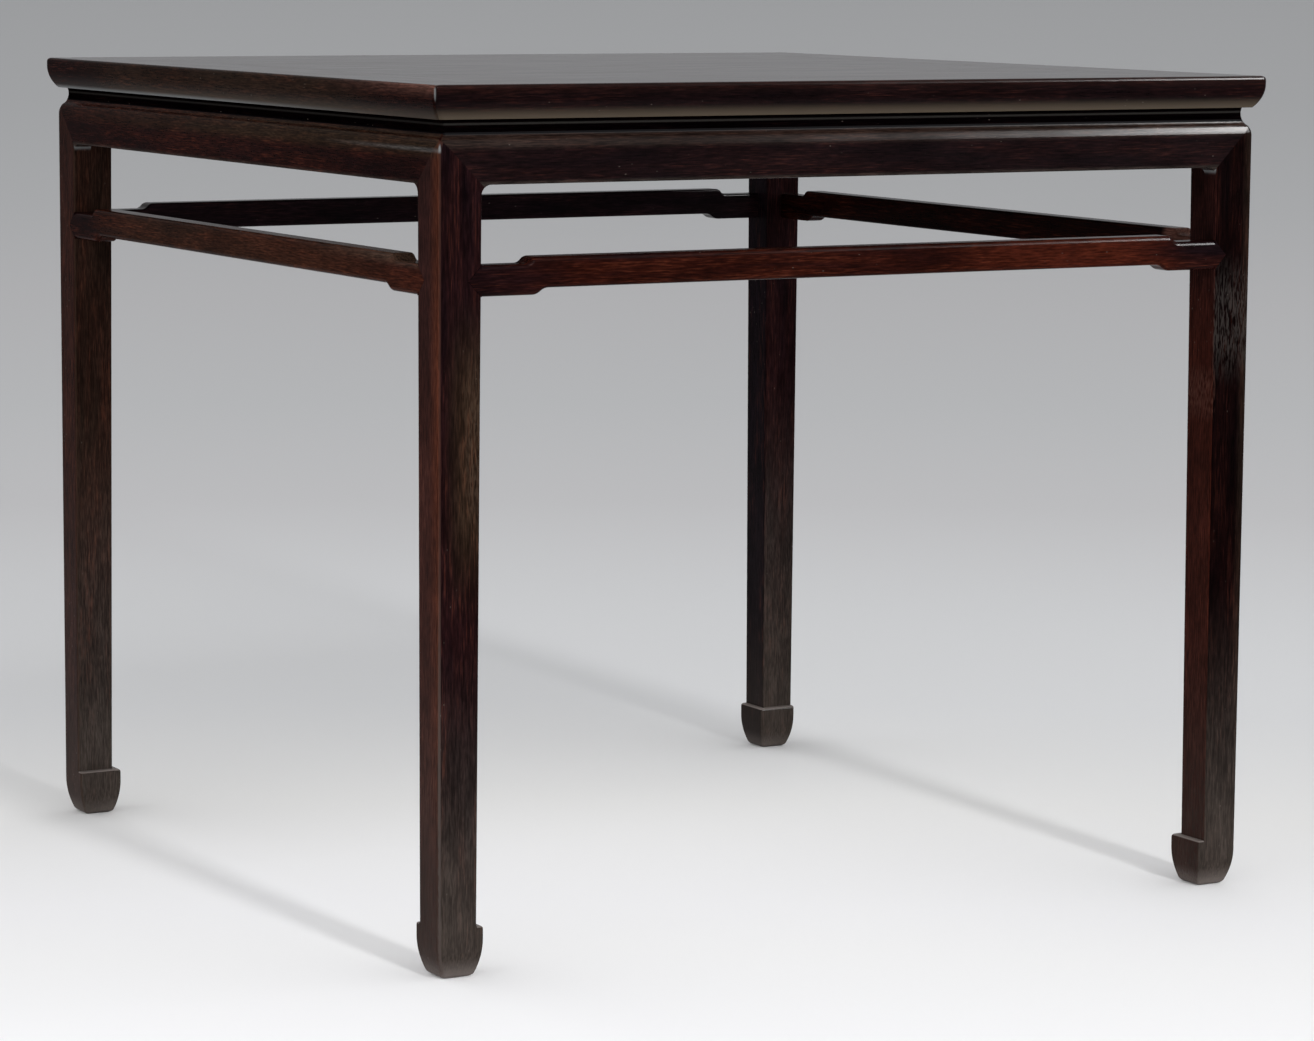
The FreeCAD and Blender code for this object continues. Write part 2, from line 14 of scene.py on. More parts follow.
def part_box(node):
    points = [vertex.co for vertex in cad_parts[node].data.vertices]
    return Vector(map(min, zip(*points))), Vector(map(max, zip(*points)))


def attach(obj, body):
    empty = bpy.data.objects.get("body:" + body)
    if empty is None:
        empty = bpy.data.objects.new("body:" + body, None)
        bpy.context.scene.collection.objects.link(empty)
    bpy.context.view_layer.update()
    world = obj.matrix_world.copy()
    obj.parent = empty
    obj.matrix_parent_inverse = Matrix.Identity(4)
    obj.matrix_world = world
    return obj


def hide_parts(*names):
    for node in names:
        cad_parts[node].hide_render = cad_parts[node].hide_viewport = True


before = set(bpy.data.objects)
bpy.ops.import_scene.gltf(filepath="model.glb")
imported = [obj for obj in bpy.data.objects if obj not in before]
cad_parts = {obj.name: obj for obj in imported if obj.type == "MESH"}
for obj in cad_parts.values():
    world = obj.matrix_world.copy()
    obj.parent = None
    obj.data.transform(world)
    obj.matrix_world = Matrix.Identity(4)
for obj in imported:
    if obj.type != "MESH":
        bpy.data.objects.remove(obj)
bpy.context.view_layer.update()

bl_info = {
    "name": "Eight-seat table",
    "version": (1, 0, 0),
    "blender": (4, 5, 0),
    "location": "View3D > Sidebar > Table",
    "description": "Square waisted table with humpback stretchers and hoof feet",
    "category": "Add Mesh",
}

MM = 0.001
SIDES = ("front", "right", "back", "left")
CORNERS = ("front_left", "front_right", "back_right", "back_left")
QUARTER = math.pi / 2
ARC_STEP = math.radians(7.0)     # largest turn between two points of an arc
SKIN = 0.02 * MM                 # keeps faces that would lie on each other apart
PAST = 20 * MM                   # how far a cutter runs past what it cuts
SHARP_ANGLE = math.radians(32.0)    # edges that turn more than this stay crisp
FLAT_WEIGHT = 90                 # how strongly large faces hold their shading flat
LEVEL_FACE = 0.95                # upward part of a face's normal from which it counts as level

# What the frame says about sizes
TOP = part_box("frame_front")
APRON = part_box("apron_front")
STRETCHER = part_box("stretcher_front")
HALF_TOP = -TOP[0].x
HALF_LEG = -APRON[0].y
TOP_LEVEL = TOP[1].z
FRAME_UNDERSIDE = TOP[0].z
FRAME_WIDTH = TOP[1].y - TOP[0].y
APRON_TOP = APRON[1].z
APRON_THICKNESS = APRON[1].y - APRON[0].y
STRETCHER_THICKNESS = STRETCHER[1].y - STRETCHER[0].y
STRETCHER_LOW = STRETCHER[0].z


def length(name, description, millimetres):
    """Property for a size of the table."""
    return bpy.props.FloatProperty(name=name, description=description, default=millimetres * MM,
                                   min=0.0, unit="LENGTH", precision=5)


def linear(code):
    """Linear colour of an sRGB hex value."""
    values = [int(code[i:i + 2], 16) / 255 for i in (1, 3, 5)]
    return [v / 12.92 if v <= 0.04045 else ((v + 0.055) / 1.055) ** 2.4 for v in values]


def colour(name, description, code):
    """Property for a colour, given as an sRGB hex value."""
    return bpy.props.FloatVectorProperty(name=name, description=description, subtype="COLOR",
                                         size=3, min=0.0, max=1.0, default=linear(code))


class TableSizes(bpy.types.PropertyGroup):
    """Sizes of the mouldings, feet and stretchers."""
    edge_top_radius: length("Top arris", "Round upper arris of the moulded edge", 4.0)
    edge_fullness: length("Edge fullness", "Fullest line of the edge above the frame's underside", 24.0)
    edge_undercut: length("Edge undercut", "How far the edge sweeps in at the underside", 9.5)
    edge_corner: length("Edge corner", "Round corner of the top, seen from above", 5.0)
    seam_ease: length("Seam ease", "Small chamfer along each joint that shows", 0.5)
    waist_setback: length("Waist setback", "Waist behind the outer face of the apron", 7.5)
    waist_hollow: length("Waist hollow", "Depth of the cove along the waist", 1.0)
    apron_height: length("Apron height", "Apron from its lower edge to the waist", 49.5)
    apron_arris: length("Apron arris", "Round lower arris of the apron", 1.6)
    shoulder_height: length("Shoulder height", "Moulded slope between waist and apron face", 16.5)
    shoulder_radius: length("Shoulder radius", "Where the slope turns into the face", 18.0)
    shoulder_hollow: length("Shoulder hollow", "Depth of the slope's cove", 0.7)
    spandrel_radius: length("Spandrel radius", "Curve between apron and leg", 10.0)
    leg_size: length("Leg", "Width of the leg at the apron", 46.0)
    leg_taper: length("Leg taper", "How much narrower the leg is above the hoof", 4.4)
    leg_outer_arris: length("Outer arris", "Round arris on the table's corner", 4.0)
    leg_inner_arris: length("Inner arris", "Round arris on the leg's other corners", 2.5)
    hoof_height: length("Hoof height", "From the floor to the ledge", 50.5)
    hoof_step: length("Hoof ledge", "Ledge round the two inner faces", 7.5)
    hoof_lip: length("Hoof lip", "Radius of the ledge's edge", 3.0)
    hoof_rise: length("Hoof rise", "Where the faces start to curve in", 38.0)
    hoof_outer_tuck: length("Outer tuck", "How far the outer faces curve in", 8.5)
    hoof_inner_tuck: length("Inner tuck", "How far the inner faces curve in", 7.5)
    hoof_floor: length("Floor arris", "Radius round the foot at the floor", 4.0)
    stretcher_height: length("Stretcher height", "Height of the stretchers", 30.0)
    stretcher_arris: length("Stretcher arris", "Round arris on the outer face", 5.0)
    stretcher_back_arris: length("Stretcher back arris", "Round arris on the inner face", 2.5)
    hump_rise: length("Hump", "Rise of the stretcher's middle", 6.5)
    upper_bend_start: length("Upper bend", "Start of the upper bend from the leg", 46.0)
    upper_bend_length: length("Upper bend length", "Run of the upper bend", 14.0)
    lower_bend_start: length("Lower bend", "Start of the lower bend from the leg", 56.0)
    lower_bend_length: length("Lower bend length", "Run of the lower bend", 18.0)
    point_length: length("Point", "Pointed shoulder let into the leg", 14.0)
    point_depth: length("Point depth", "Depth of the pointed shoulder", 7.0)
    panel_thickness: length("Panel", "Thickness of the boards", 15.0)
    board_count: bpy.props.IntProperty(name="Boards", description="Boards in the panel", default=4, min=1)


class WoodLook(bpy.types.PropertyGroup):
    """Colours of the wood."""
    dark: colour("Dark wood", "Heartwood between the figure", "#0c070b")
    figure: colour("Figure", "Brown bands of the figure", "#211316")
    ember: colour("Ember", "Reddest heartwood, on the front stretcher", "#40180d")
    russet: colour("Russet", "Red-brown heartwood on the side faces", "#3a201a")
    brick: colour("Brick", "Heartwood that shows orange beside the front left arris", "#4c2618")
    wine: colour("Wine", "Dark red heartwood", "#27110d")
    ochre: colour("Ochre", "Yellow-brown bands, most of them on the left side", "#33281b")
    # Real wear on the legs, and painted sheen on the apron's shoulder and on arrises.
    wear_and_sheen: colour("Worn", "Brown where the wax has been rubbed off", "#40332a")
    # Painted reflection of the floor on the lower sweep of the top's edge.
    floor_sheen: colour("Rubbed", "Under the edge of the top, where hands lift the table", "#544a3e")
    # Painted glints and highlights on corners, arrises and curved edges.
    painted_glint: colour("Bare", "Grey wood along rubbed arrises", "#787b7c")
    # Grey scuffs; low on the front left arris also part of a painted highlight line.
    scuff_and_sheen: colour("Scuff", "Grey rubbed patches", "#45413e")
    # Pink rub marks; on the front left arris also part of a painted highlight line.
    pink_rub_and_sheen: colour("Pink rub", "Fresh rub marks", "#553830")
    # Dust on the feet, and a painted reflection of the floor on the lower legs and the apron's lower edge.
    dust_and_floor_sheen: colour("Dusty", "Wax and dust on the feet", "#352f2b")
    # Painted reflection of the floor on the foot, and painted highlight on the hoof's ledge.
    pale: colour("Pale", "Foot where mops and floors have worn it", "#716965")
    # Painted shade, black, in the recess under the waist.
    recess_shade: colour("Grime", "Old wax and dirt in the recess under the top", "#050406")
    # Painted reflection of the floor on the upper part of the waist.
    strip: colour("Waist", "Upper part of the waist, which catches the light of the floor", "#2f2d2b")
    dust: colour("Specks", "Wax left in open pores", "#6b625b")
    second_light: colour("Secondary light", "Light bands of the hidden wood", "#6a4c33")
    second_dark: colour("Secondary dark", "Dark bands of the hidden wood", "#3b281a")


class StudioLook(bpy.types.PropertyGroup):
    """Camera and floor of the studio."""
    camera_place: bpy.props.FloatVectorProperty(name="Camera", description="Where the camera stands",
                                                subtype="TRANSLATION", unit="LENGTH", size=3,
                                                default=(-2.314, -4.119, 0.993))
    camera_turn: bpy.props.FloatProperty(name="Turn", description="Camera turned right from +Y",
                                         unit="ROTATION", default=math.radians(29.68))
    camera_tilt: bpy.props.FloatProperty(name="Tilt", description="Camera tilted down",
                                         unit="ROTATION", default=math.radians(7.59))
    camera_roll: bpy.props.FloatProperty(name="Roll", description="Camera rolled about its view",
                                         unit="ROTATION", default=math.radians(0.42))
    camera_lens: bpy.props.FloatProperty(name="Lens", description="Focal length", unit="CAMERA",
                                         default=118.8)
    floor_radius: bpy.props.FloatProperty(name="Floor", description="Radius of the floor",
                                          unit="LENGTH", default=90.0)


# ---- Handling of pieces ----------------------------------------------------------------------
def only(piece):
    """Makes piece the one selected object, and the active one."""
    bpy.ops.object.select_all(action="DESELECT")
    piece.select_set(True)
    bpy.context.view_layer.objects.active = piece


def edit(piece):
    """Opens piece for editing, with nothing in it selected."""
    only(piece)
    bpy.ops.object.mode_set(mode="EDIT")
    bpy.ops.mesh.select_mode(type="VERT")
    bpy.ops.mesh.select_all(action="DESELECT")


def leave():
    """Closes the piece that is open for editing."""
    bpy.ops.object.mode_set(mode="OBJECT")


def pick(piece, kind, test):
    """Selects only the verts, edges or faces of the open piece that pass test."""
    bpy.ops.mesh.select_mode(type={"verts": "VERT", "edges": "EDGE", "faces": "FACE"}[kind])
    bpy.ops.mesh.select_all(action="DESELECT")
    mesh = bmesh.from_edit_mesh(piece.data)
    for item in getattr(mesh, kind):
        if test(item):
            item.select_set(True)
    mesh.select_flush_mode()
    bmesh.update_edit_mesh(piece.data)


def bevel(width, segments):
    """Rounds the selected edges."""
    bpy.ops.mesh.bevel(offset=width, segments=segments, affect="EDGES", clamp_overlap=True)


def add_block(name, low, high):
    """Block between two corners."""
    low, high = Vector(low), Vector(high)
    bpy.ops.object.select_all(action="DESELECT")
    bpy.ops.mesh.primitive_cube_add(size=1, location=(low + high) / 2, scale=high - low)
    bpy.ops.object.transform_apply(location=True, rotation=True, scale=True)
    block = bpy.context.object
    block.name = block.data.name = name
    return block


def arc_to(here, end, tangent):
    """Centre, axis and angle of the arc that leaves here along tangent and ends at end."""
    chord = end - here
    ahead = chord.dot(tangent)
    across = chord - tangent * ahead
    centre = here + across.normalized() * chord.length_squared / (2 * across.length)
    return centre, tangent.cross(across).normalized(), 2 * math.atan2(across.length, ahead)


def draw(name, start, *runs):
    """Outline as a chain of edges, left open for editing with its last point selected.

    A run is the end of a straight line, or (end, tangent) of an arc; with None for the tangent the
    arc goes on smoothly from the run before it.
    """
    bpy.ops.object.select_all(action="DESELECT")
    bpy.ops.mesh.primitive_plane_add(size=MM, location=start)
    bpy.ops.object.transform_apply(location=True, rotation=True, scale=True)
    piece = bpy.context.object
    piece.name = piece.data.name = name
    edit(piece)
    bpy.ops.mesh.select_all(action="SELECT")
    bpy.ops.mesh.merge(type="CENTER")
    here = Vector(start)
    heading = None
    for run in runs:
        if isinstance(run, tuple):
            end, tangent = run
            tangent = heading if tangent is None else tangent.normalized()
            centre, axis, angle = arc_to(here, end, tangent)
            bpy.ops.mesh.spin(steps=max(2, math.ceil(angle / ARC_STEP)), angle=angle,
                              center=centre, axis=-axis)
            chord = (end - here).normalized()
            heading = 2 * tangent.dot(chord) * chord - tangent
        else:
            end = run
            bpy.ops.mesh.extrude_region_move(TRANSFORM_OT_translate={"value": end - here})
            heading = (end - here).normalized()
        here = end
    return piece


def close_and_extrude(piece, by):
    """Closes the drawn outline to a face and extrudes it to a solid."""
    bpy.ops.mesh.select_all(action="SELECT")
    bpy.ops.mesh.remove_doubles(threshold=SKIN / 4)
    bpy.ops.mesh.edge_face_add()
    bpy.ops.mesh.extrude_region_move(TRANSFORM_OT_translate={"value": by})
    bpy.ops.mesh.select_all(action="SELECT")
    bpy.ops.mesh.normals_make_consistent(inside=False)
    leave()
    return piece


def rounded_square(name, place, near, far, z, radii):
    """Square from near to far with a radius for each corner, drawn for editing and all selected."""
    east, north = Vector((1, 0, 0)), Vector((0, 1, 0))
    first, second, third, fourth = radii
    ring = draw(name, place(near + first, near, z),
                place(far - second, near, z), (place(far, near + second, z), east),
                place(far, far - third, z), (place(far - third, far, z), north),
                place(near + fourth, far, z), (place(near, far - fourth, z), -east),
                place(near, near + first, z), (place(near + first, near, z), -north))
    bpy.ops.mesh.select_all(action="SELECT")
    bpy.ops.mesh.remove_doubles(threshold=SKIN)
    bpy.ops.mesh.select_all(action="SELECT")
    return ring


def cut_off(piece, point, normal):
    """Cuts piece by a plane and takes away what lies on the normal's side."""
    edit(piece)
    bpy.ops.mesh.select_all(action="SELECT")
    bpy.ops.mesh.bisect(plane_co=point, plane_no=normal, use_fill=True, clear_outer=True)
    leave()


def combine(piece, tool, operation):
    """Boolean of piece with tool, which is used up."""
    only(piece)
    modifier = piece.modifiers.new("combine", "BOOLEAN")
    modifier.object = tool
    modifier.operation = operation
    modifier.solver = "EXACT"
    bpy.ops.object.modifier_apply(modifier=modifier.name)
    bpy.data.meshes.remove(tool.data)


def smooth(piece):
    """Smooth shading with crisp arrises, and flat faces that stay flat."""
    only(piece)
    bpy.ops.object.shade_smooth_by_angle(angle=SHARP_ANGLE)
    modifier = piece.modifiers.new("flat faces", "WEIGHTED_NORMAL")
    modifier.keep_sharp = True
    modifier.weight = FLAT_WEIGHT
    bpy.ops.object.modifier_apply(modifier=modifier.name)


def turn_round(piece, quarter, name):
    """Copy of piece with its own mesh, turned by quarter turns about the table's axis."""
    only(piece)
    bpy.ops.object.duplicate(linked=False)
    copy = bpy.context.object
    copy.name = copy.data.name = name
    copy.rotation_euler = (0, 0, quarter * QUARTER)
    bpy.ops.object.transform_apply(location=True, rotation=True, scale=True)
    return copy


def set_in(piece, material, node):
    """Gives piece its wood and puts it in the place of a CAD node."""
    piece.data.materials.clear()
    piece.data.materials.append(material)
    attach(piece, "root")
    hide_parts(node)


# ---- Levels ----------------------------------------------------------------------------------
def apron_bottom(size):
    """Level of the apron's lower edge."""
    return APRON_TOP - size.apron_height


def spandrel_foot(size):
    """Level on the leg where its curve to the apron starts."""
    return apron_bottom(size) - size.spandrel_radius


def stretcher_middle(size):
    """Level of the middle of a stretcher's end."""
    return STRETCHER_LOW + size.stretcher_height / 2


# ---- Corner coordinates ----------------------------------------------------------------------
def corner(u, v, z):
    """Point at the front left corner."""
    return Vector((u - HALF_LEG, v - HALF_LEG, z))


def swapped(u, v, z):
    """The same with u and v changed over."""
    return corner(v, u, z)


# ---- Legs ------------------------------------------------------------------------------------
def curve_in(radius, drop):
    """How far a circle has curved away, drop below the point where it is upright."""
    return radius - math.sqrt(radius ** 2 - drop ** 2)


def tuck(z, rise, depth):
    """How far a face has curved in at z, when it starts at rise and is depth in at the floor."""
    if z >= rise:
        return 0.0
    return curve_in((rise ** 2 + depth ** 2) / (2 * depth), rise - z)


def shoulder_profile(size):
    """Points (in, up) of the moulded shoulder from the face to the waist."""
    offset = size.shoulder_radius - size.waist_setback
    reach = math.hypot(offset, size.shoulder_height)
    lean = math.atan2(size.shoulder_height, offset) - math.acos(size.shoulder_radius / reach)
    steps = math.ceil(lean / ARC_STEP)
    points = []
    for step in range(steps + 1):
        angle = lean * step / steps
        points.append((size.shoulder_radius * (1 - math.cos(angle)),
                       size.shoulder_radius * math.sin(angle)))
    first = Vector(points[-1])
    last = Vector((size.waist_setback, size.shoulder_height))
    inwards = Vector((last.y - first.y, first.x - last.x)).normalized()
    for step in range(1, steps):
        share = step / steps
        dip = 4 * size.shoulder_hollow * share * (1 - share)
        points.append(tuple(first.lerp(last, share) + inwards * dip))
    points.append(tuple(last))
    return points


def leg_levels(size):
    """(z, outer face, inner face) of the leg from the floor to the frame."""
    hoof = size.leg_size - size.leg_taper + size.hoof_step
    floor = size.hoof_floor
    levels = []
    for step in range(5):
        z = floor * (1 - math.cos(step / 4 * QUARTER))
        levels.append(z)
    steps = 8
    levels += [floor + (size.hoof_rise - floor) * step / steps for step in range(1, steps + 1)]
    faces = []
    for z in levels:
        round_in = curve_in(floor, floor - z) if z < floor else 0.0
        faces.append((z, tuck(z, size.hoof_rise, size.hoof_outer_tuck) + round_in,
                      hoof - tuck(z, size.hoof_rise, size.hoof_inner_tuck) - round_in))
    for step in range(5):
        angle = step / 4 * QUARTER
        faces.append((size.hoof_height - size.hoof_lip * (1 - math.sin(angle)), 0.0,
                      hoof - size.hoof_lip * (1 - math.cos(angle))))
    faces.append((size.hoof_height + 5 * SKIN, 0.0, size.leg_size - size.leg_taper))
    faces.append((spandrel_foot(size), 0.0, size.leg_size))
    base = APRON_TOP - size.shoulder_height
    for inwards, up in shoulder_profile(size):
        faces.append((base + up, inwards, size.leg_size))
    faces.append((FRAME_UNDERSIDE, size.waist_setback, size.leg_size))
    return faces


def shift_ring(piece, z, axis, outer_move, inner_move, middle):
    """Moves the outer and the inner half of the ring at z along one axis."""
    for move, is_half in ((outer_move, lambda place: place < middle),
                          (inner_move, lambda place: place > middle)):
        if abs(move) < SKIN / 10:
            continue
        pick(piece, "verts", lambda vert: abs(vert.co.z - z) < SKIN and is_half(vert.co[axis])
             and vert.tag)
        value = [0.0, 0.0, 0.0]
        value[axis] = move
        bpy.ops.transform.translate(value=value)


def leg_post(size):
    """Leg from the floor to the frame: a rounded square raised level by level."""
    levels = leg_levels(size)
    z, near, far = levels[0]
    outer, inner = size.leg_outer_arris, size.leg_inner_arris
    post = rounded_square("leg", corner, near, far, z, (outer, inner, inner, inner))
    for next_z, next_near, next_far in levels[1:]:
        bpy.ops.mesh.extrude_region_move(TRANSFORM_OT_translate={"value": (0, 0, next_z - z)})
        ring = bmesh.from_edit_mesh(post.data)
        for vert in ring.verts:
            vert.tag = vert.select
        for axis in (0, 1):
            shift_ring(post, next_z, axis, next_near - near, next_far - far,
                       (next_near + next_far) / 2 - HALF_LEG)
        pick(post, "verts", lambda vert: vert.tag)
        z, near, far = next_z, next_near, next_far
    bpy.ops.mesh.edge_face_add()
    pick(post, "verts", lambda vert: vert.co.z < SKIN)
    bpy.ops.mesh.edge_face_add()
    bpy.ops.mesh.select_all(action="SELECT")
    bpy.ops.mesh.remove_doubles(threshold=SKIN / 2)
    bpy.ops.mesh.normals_make_consistent(inside=False)
    leave()
    return post


def on_spandrel(size, angle):
    """u and z on the curve between leg and apron, angle up from the leg."""
    return (size.leg_size + size.spandrel_radius * (1 - math.cos(angle)),
            spandrel_foot(size) + size.spandrel_radius * math.sin(angle))


def ear(size, place):
    """Lower half of the curve between leg and apron, as a bracket let into the leg."""
    inside = size.leg_size - 3 * size.leg_inner_arris
    side = size.leg_size - 5 * SKIN
    low = on_spandrel(size, 0)[1] - size.leg_outer_arris
    high = apron_bottom(size) + size.leg_outer_arris
    first = ARC_STEP
    start_u, start_z = on_spandrel(size, first)
    end_u, end_z = on_spandrel(size, math.pi / 3)
    onwards = place(math.sin(first), 0, math.cos(first)) - place(0, 0, 0)
    bracket = draw("ear", place(inside, SKIN, low), place(side, SKIN, low),
                   place(start_u, SKIN, start_z), (place(end_u, SKIN, end_z), onwards),
                   place(end_u, SKIN, high), place(inside, SKIN, high))
    close_and_extrude(bracket, place(0, APRON_THICKNESS, 0) - place(0, 2 * SKIN, 0))
    edit(bracket)
    front = place(inside, SKIN, 0)
    reach = place(side, side, 0)
    along = 0 if place is corner else 1
    pick(bracket, "edges", lambda edge: all(
        abs(vert.co[1 - along] - front[1 - along]) < SKIN / 2 and vert.co[along] > reach[along] - SKIN / 2
        for vert in edge.verts) and abs(edge.verts[0].co.z - edge.verts[1].co.z) > SKIN)
    bevel(size.leg_inner_arris, 4)
    leave()
    return bracket


def joint_cutter(size, place):
    """What apron and waist take out of the leg above the mitre."""
    mitre_top = apron_bottom(size) + size.leg_size
    past = size.leg_size + PAST
    cutter = draw("joint", place(-PAST, -PAST, mitre_top + PAST), place(past, -PAST, mitre_top - past),
                  place(past, -PAST, TOP_LEVEL), place(-PAST, -PAST, TOP_LEVEL))
    return close_and_extrude(cutter, place(0, APRON_THICKNESS + PAST, 0) - place(0, 0, 0))


def leg_at(size, z):
    """Width of the tapered leg at z."""
    up = (z - size.hoof_height) / (spandrel_foot(size) - size.hoof_height)
    return size.leg_size - size.leg_taper * (1 - up)


def stretcher_point(size, place, play, front, root):
    """Pointed shoulder of a stretcher, from front inwards, grown by play for its bed in the leg."""
    middle = stretcher_middle(size)
    side = leg_at(size, middle)
    half = size.stretcher_height / 2 + play
    point = draw("point", place(side - size.point_length - play, front, middle),
                 place(side, front, middle - half), place(root, front, middle - half),
                 place(root, front, middle + half), place(side, front, middle + half))
    return close_and_extrude(point, place(0, size.point_depth + play, 0) - place(0, front, 0))


def make_leg(size):
    """Front left leg with its brackets, joints and beds for the stretchers."""
    leg = leg_post(size)
    for place in (corner, swapped):
        combine(leg, ear(size, place), "UNION")
    for place in (corner, swapped):
        combine(leg, joint_cutter(size, place), "DIFFERENCE")
        bed = stretcher_point(size, place, size.seam_ease, -PAST, size.leg_size + PAST)
        combine(leg, bed, "DIFFERENCE")
    return leg


class TABLE_OT_legs(bpy.types.Operator):
    """Four tapered legs with hoof feet and the beds of their joints"""
    bl_idname = "table.legs"
    bl_label = "Legs"

    def execute(self, context):
        size = context.scene.table_sizes
        first = make_leg(size)
        smooth(first)
        for quarter, name in enumerate(CORNERS):
            leg = turn_round(first, quarter, "wood_leg_" + name)
            set_in(leg, leg_wood(context.scene.table_wood, size, name, quarter), "leg_" + name)
        bpy.data.meshes.remove(first.data)
        return {"FINISHED"}


# ---- Moulded members along the sides ---------------------------------------------------------
def moulded_member(name, half, depth, radius, levels):
    """Front member of a square ring: levels are (in, z) of its outer profile, upwards.

    The whole ring is raised as a block with corners of the given radius, and the front is cut out
    of it along the mitres and its own depth.
    """
    inwards, z = levels[0]
    reach = half - inwards
    member = rounded_square(name, lambda *point: Vector(point), -reach, reach, z, (radius,) * 4)
    for next_in, next_z in levels[1:]:
        bpy.ops.mesh.extrude_region_move(TRANSFORM_OT_translate={"value": (0, 0, next_z - z)})
        scale = (half - next_in) / (half - inwards)
        bpy.ops.transform.resize(value=(scale, scale, 1), center_override=(0, 0, next_z))
        inwards, z = next_in, next_z
    bpy.ops.mesh.edge_face_add()
    pick(member, "verts", lambda vert: abs(vert.co.z - levels[0][1]) < SKIN)
    bpy.ops.mesh.edge_face_add()
    bpy.ops.mesh.select_all(action="SELECT")
    bpy.ops.mesh.normals_make_consistent(inside=False)
    leave()
    cut_off(member, (0, -half + depth, 0), (0, 1, 0))
    cut_off(member, (0, 0, 0), (-1, 1, 0))
    cut_off(member, (0, 0, 0), (1, 1, 0))
    return member


def lay_round(context, first, part):
    """Turns a finished front member round the table and gives each copy its wood."""
    scene = context.scene
    smooth(first)
    members = []
    for quarter, side in enumerate(SIDES):
        member = turn_round(first, quarter, "wood_%s_%s" % (part, side))
        wood = side_wood(scene.table_wood, scene.table_sizes, part, side, quarter)
        set_in(member, wood, "%s_%s" % (part, side))
        members.append(member)
    bpy.data.meshes.remove(first.data)
    return members


# ---- Aprons ----------------------------------------------------------------------------------
def apron_opening(size):
    """Room under the apron between the legs, with its corners rounded."""
    half = HALF_LEG - size.leg_size
    bottom = apron_bottom(size)
    room = add_block("opening", (-half, -HALF_LEG - PAST, bottom - 2 * PAST),
                     (half, -HALF_LEG + APRON_THICKNESS + PAST, bottom))
    edit(room)
    pick(room, "edges", lambda edge: all(abs(vert.co.z - bottom) < SKIN for vert in edge.verts)
         and abs(edge.verts[0].co.x - edge.verts[1].co.x) < SKIN)
    bevel(size.spandrel_radius, 10)
    leave()
    return room


def make_apron(size):
    """Front apron: moulded shoulder, curved corners, mitred up to the corners of the table."""
    base = APRON_TOP - size.shoulder_height
    bottom = apron_bottom(size)
    levels = [(0.0, bottom - size.spandrel_radius)]
    levels += [(inwards, base + up) for inwards, up in shoulder_profile(size)]
    apron = moulded_member("apron", HALF_LEG, APRON_THICKNESS, size.leg_outer_arris, levels)
    combine(apron, apron_opening(size), "DIFFERENCE")
    inner = HALF_LEG - size.leg_size
    for end in (-1, 1):
        cut_off(apron, (end * inner, 0, bottom), (end, 0, -1))
    edit(apron)
    pick(apron, "edges", lambda edge: is_apron_arris(edge, bottom, inner))
    bevel(size.apron_arris, 3)
    pick(apron, "edges", lambda edge: is_apron_mitre(edge, bottom, inner))
    bevel(size.seam_ease, 1)
    leave()
    return apron


def is_apron_arris(edge, bottom, inner):
    """True on the lower front arris between the two mitres."""
    front = all(abs(vert.co.y + HALF_LEG) < SKIN for vert in edge.verts)
    below = len(edge.link_faces) == 2 and any(face.normal.y > -0.5 for face in edge.link_faces)
    on_mitre = all(abs(abs(vert.co.x) - inner - vert.co.z + bottom) < SKIN for vert in edge.verts)
    return front and below and not on_mitre and all(vert.co.z < bottom + SKIN for vert in edge.verts)


def is_apron_mitre(edge, bottom, inner):
    """True on the edges where the mitres meet the outer face."""
    on_mitre = all(abs(abs(vert.co.x) - inner - vert.co.z + bottom) < SKIN for vert in edge.verts)
    outside = all(vert.co.y < -HALF_LEG + APRON_THICKNESS / 2 for vert in edge.verts)
    return on_mitre and outside and any(face.normal.y < -0.5 for face in edge.link_faces)


class TABLE_OT_aprons(bpy.types.Operator):
    """Four aprons with moulded shoulders"""
    bl_idname = "table.aprons"
    bl_label = "Aprons"

    def execute(self, context):
        lay_round(context, make_apron(context.scene.table_sizes), "apron")
        return {"FINISHED"}


# ---- Waist -----------------------------------------------------------------------------------
def make_waist(size):
    """Front waist with its shallow cove."""
    height = FRAME_UNDERSIDE - APRON_TOP
    steps = 8
    levels = []
    for step in range(steps + 1):
        share = step / steps
        dip = 4 * size.waist_hollow * share * (1 - share)
        levels.append((size.waist_setback + dip, APRON_TOP + height * share))
    return moulded_member("waist", HALF_LEG, APRON_THICKNESS, size.leg_outer_arris, levels)


class TABLE_OT_waist(bpy.types.Operator):
    """Recessed waist between aprons and top"""
    bl_idname = "table.waist"
    bl_label = "Waist"

    def execute(self, context):
        lay_round(context, make_waist(context.scene.table_sizes), "waist")
        return {"FINISHED"}


# ---- Top -------------------------------------------------------------------------------------
def make_frame_member(size):
    """Front member of the top frame with its moulded edge."""
    levels = []
    steps = 10
    for step in range(steps + 1):
        up = size.edge_fullness * step / steps
        levels.append((tuck(up, size.edge_fullness, size.edge_undercut), FRAME_UNDERSIDE + up))
    steps = 6
    for step in range(steps + 1):
        angle = step / steps * QUARTER
        levels.append((size.edge_top_radius * (1 - math.cos(angle)),
                       TOP_LEVEL - size.edge_top_radius * (1 - math.sin(angle))))
    member = moulded_member("frame", HALF_TOP, FRAME_WIDTH, size.edge_corner, levels)
    edit(member)
    pick(member, "edges", is_frame_seam)
    bevel(size.seam_ease, 1)
    leave()
    return member


def is_frame_seam(edge):
    """True on the upper edges of a frame member that lie on a joint."""
    return all(vert.co.z > TOP_LEVEL - SKIN and (abs(abs(vert.co.x) + vert.co.y) < SKIN
                                                 or abs(vert.co.y + HALF_TOP - FRAME_WIDTH) < SKIN)
               for vert in edge.verts)


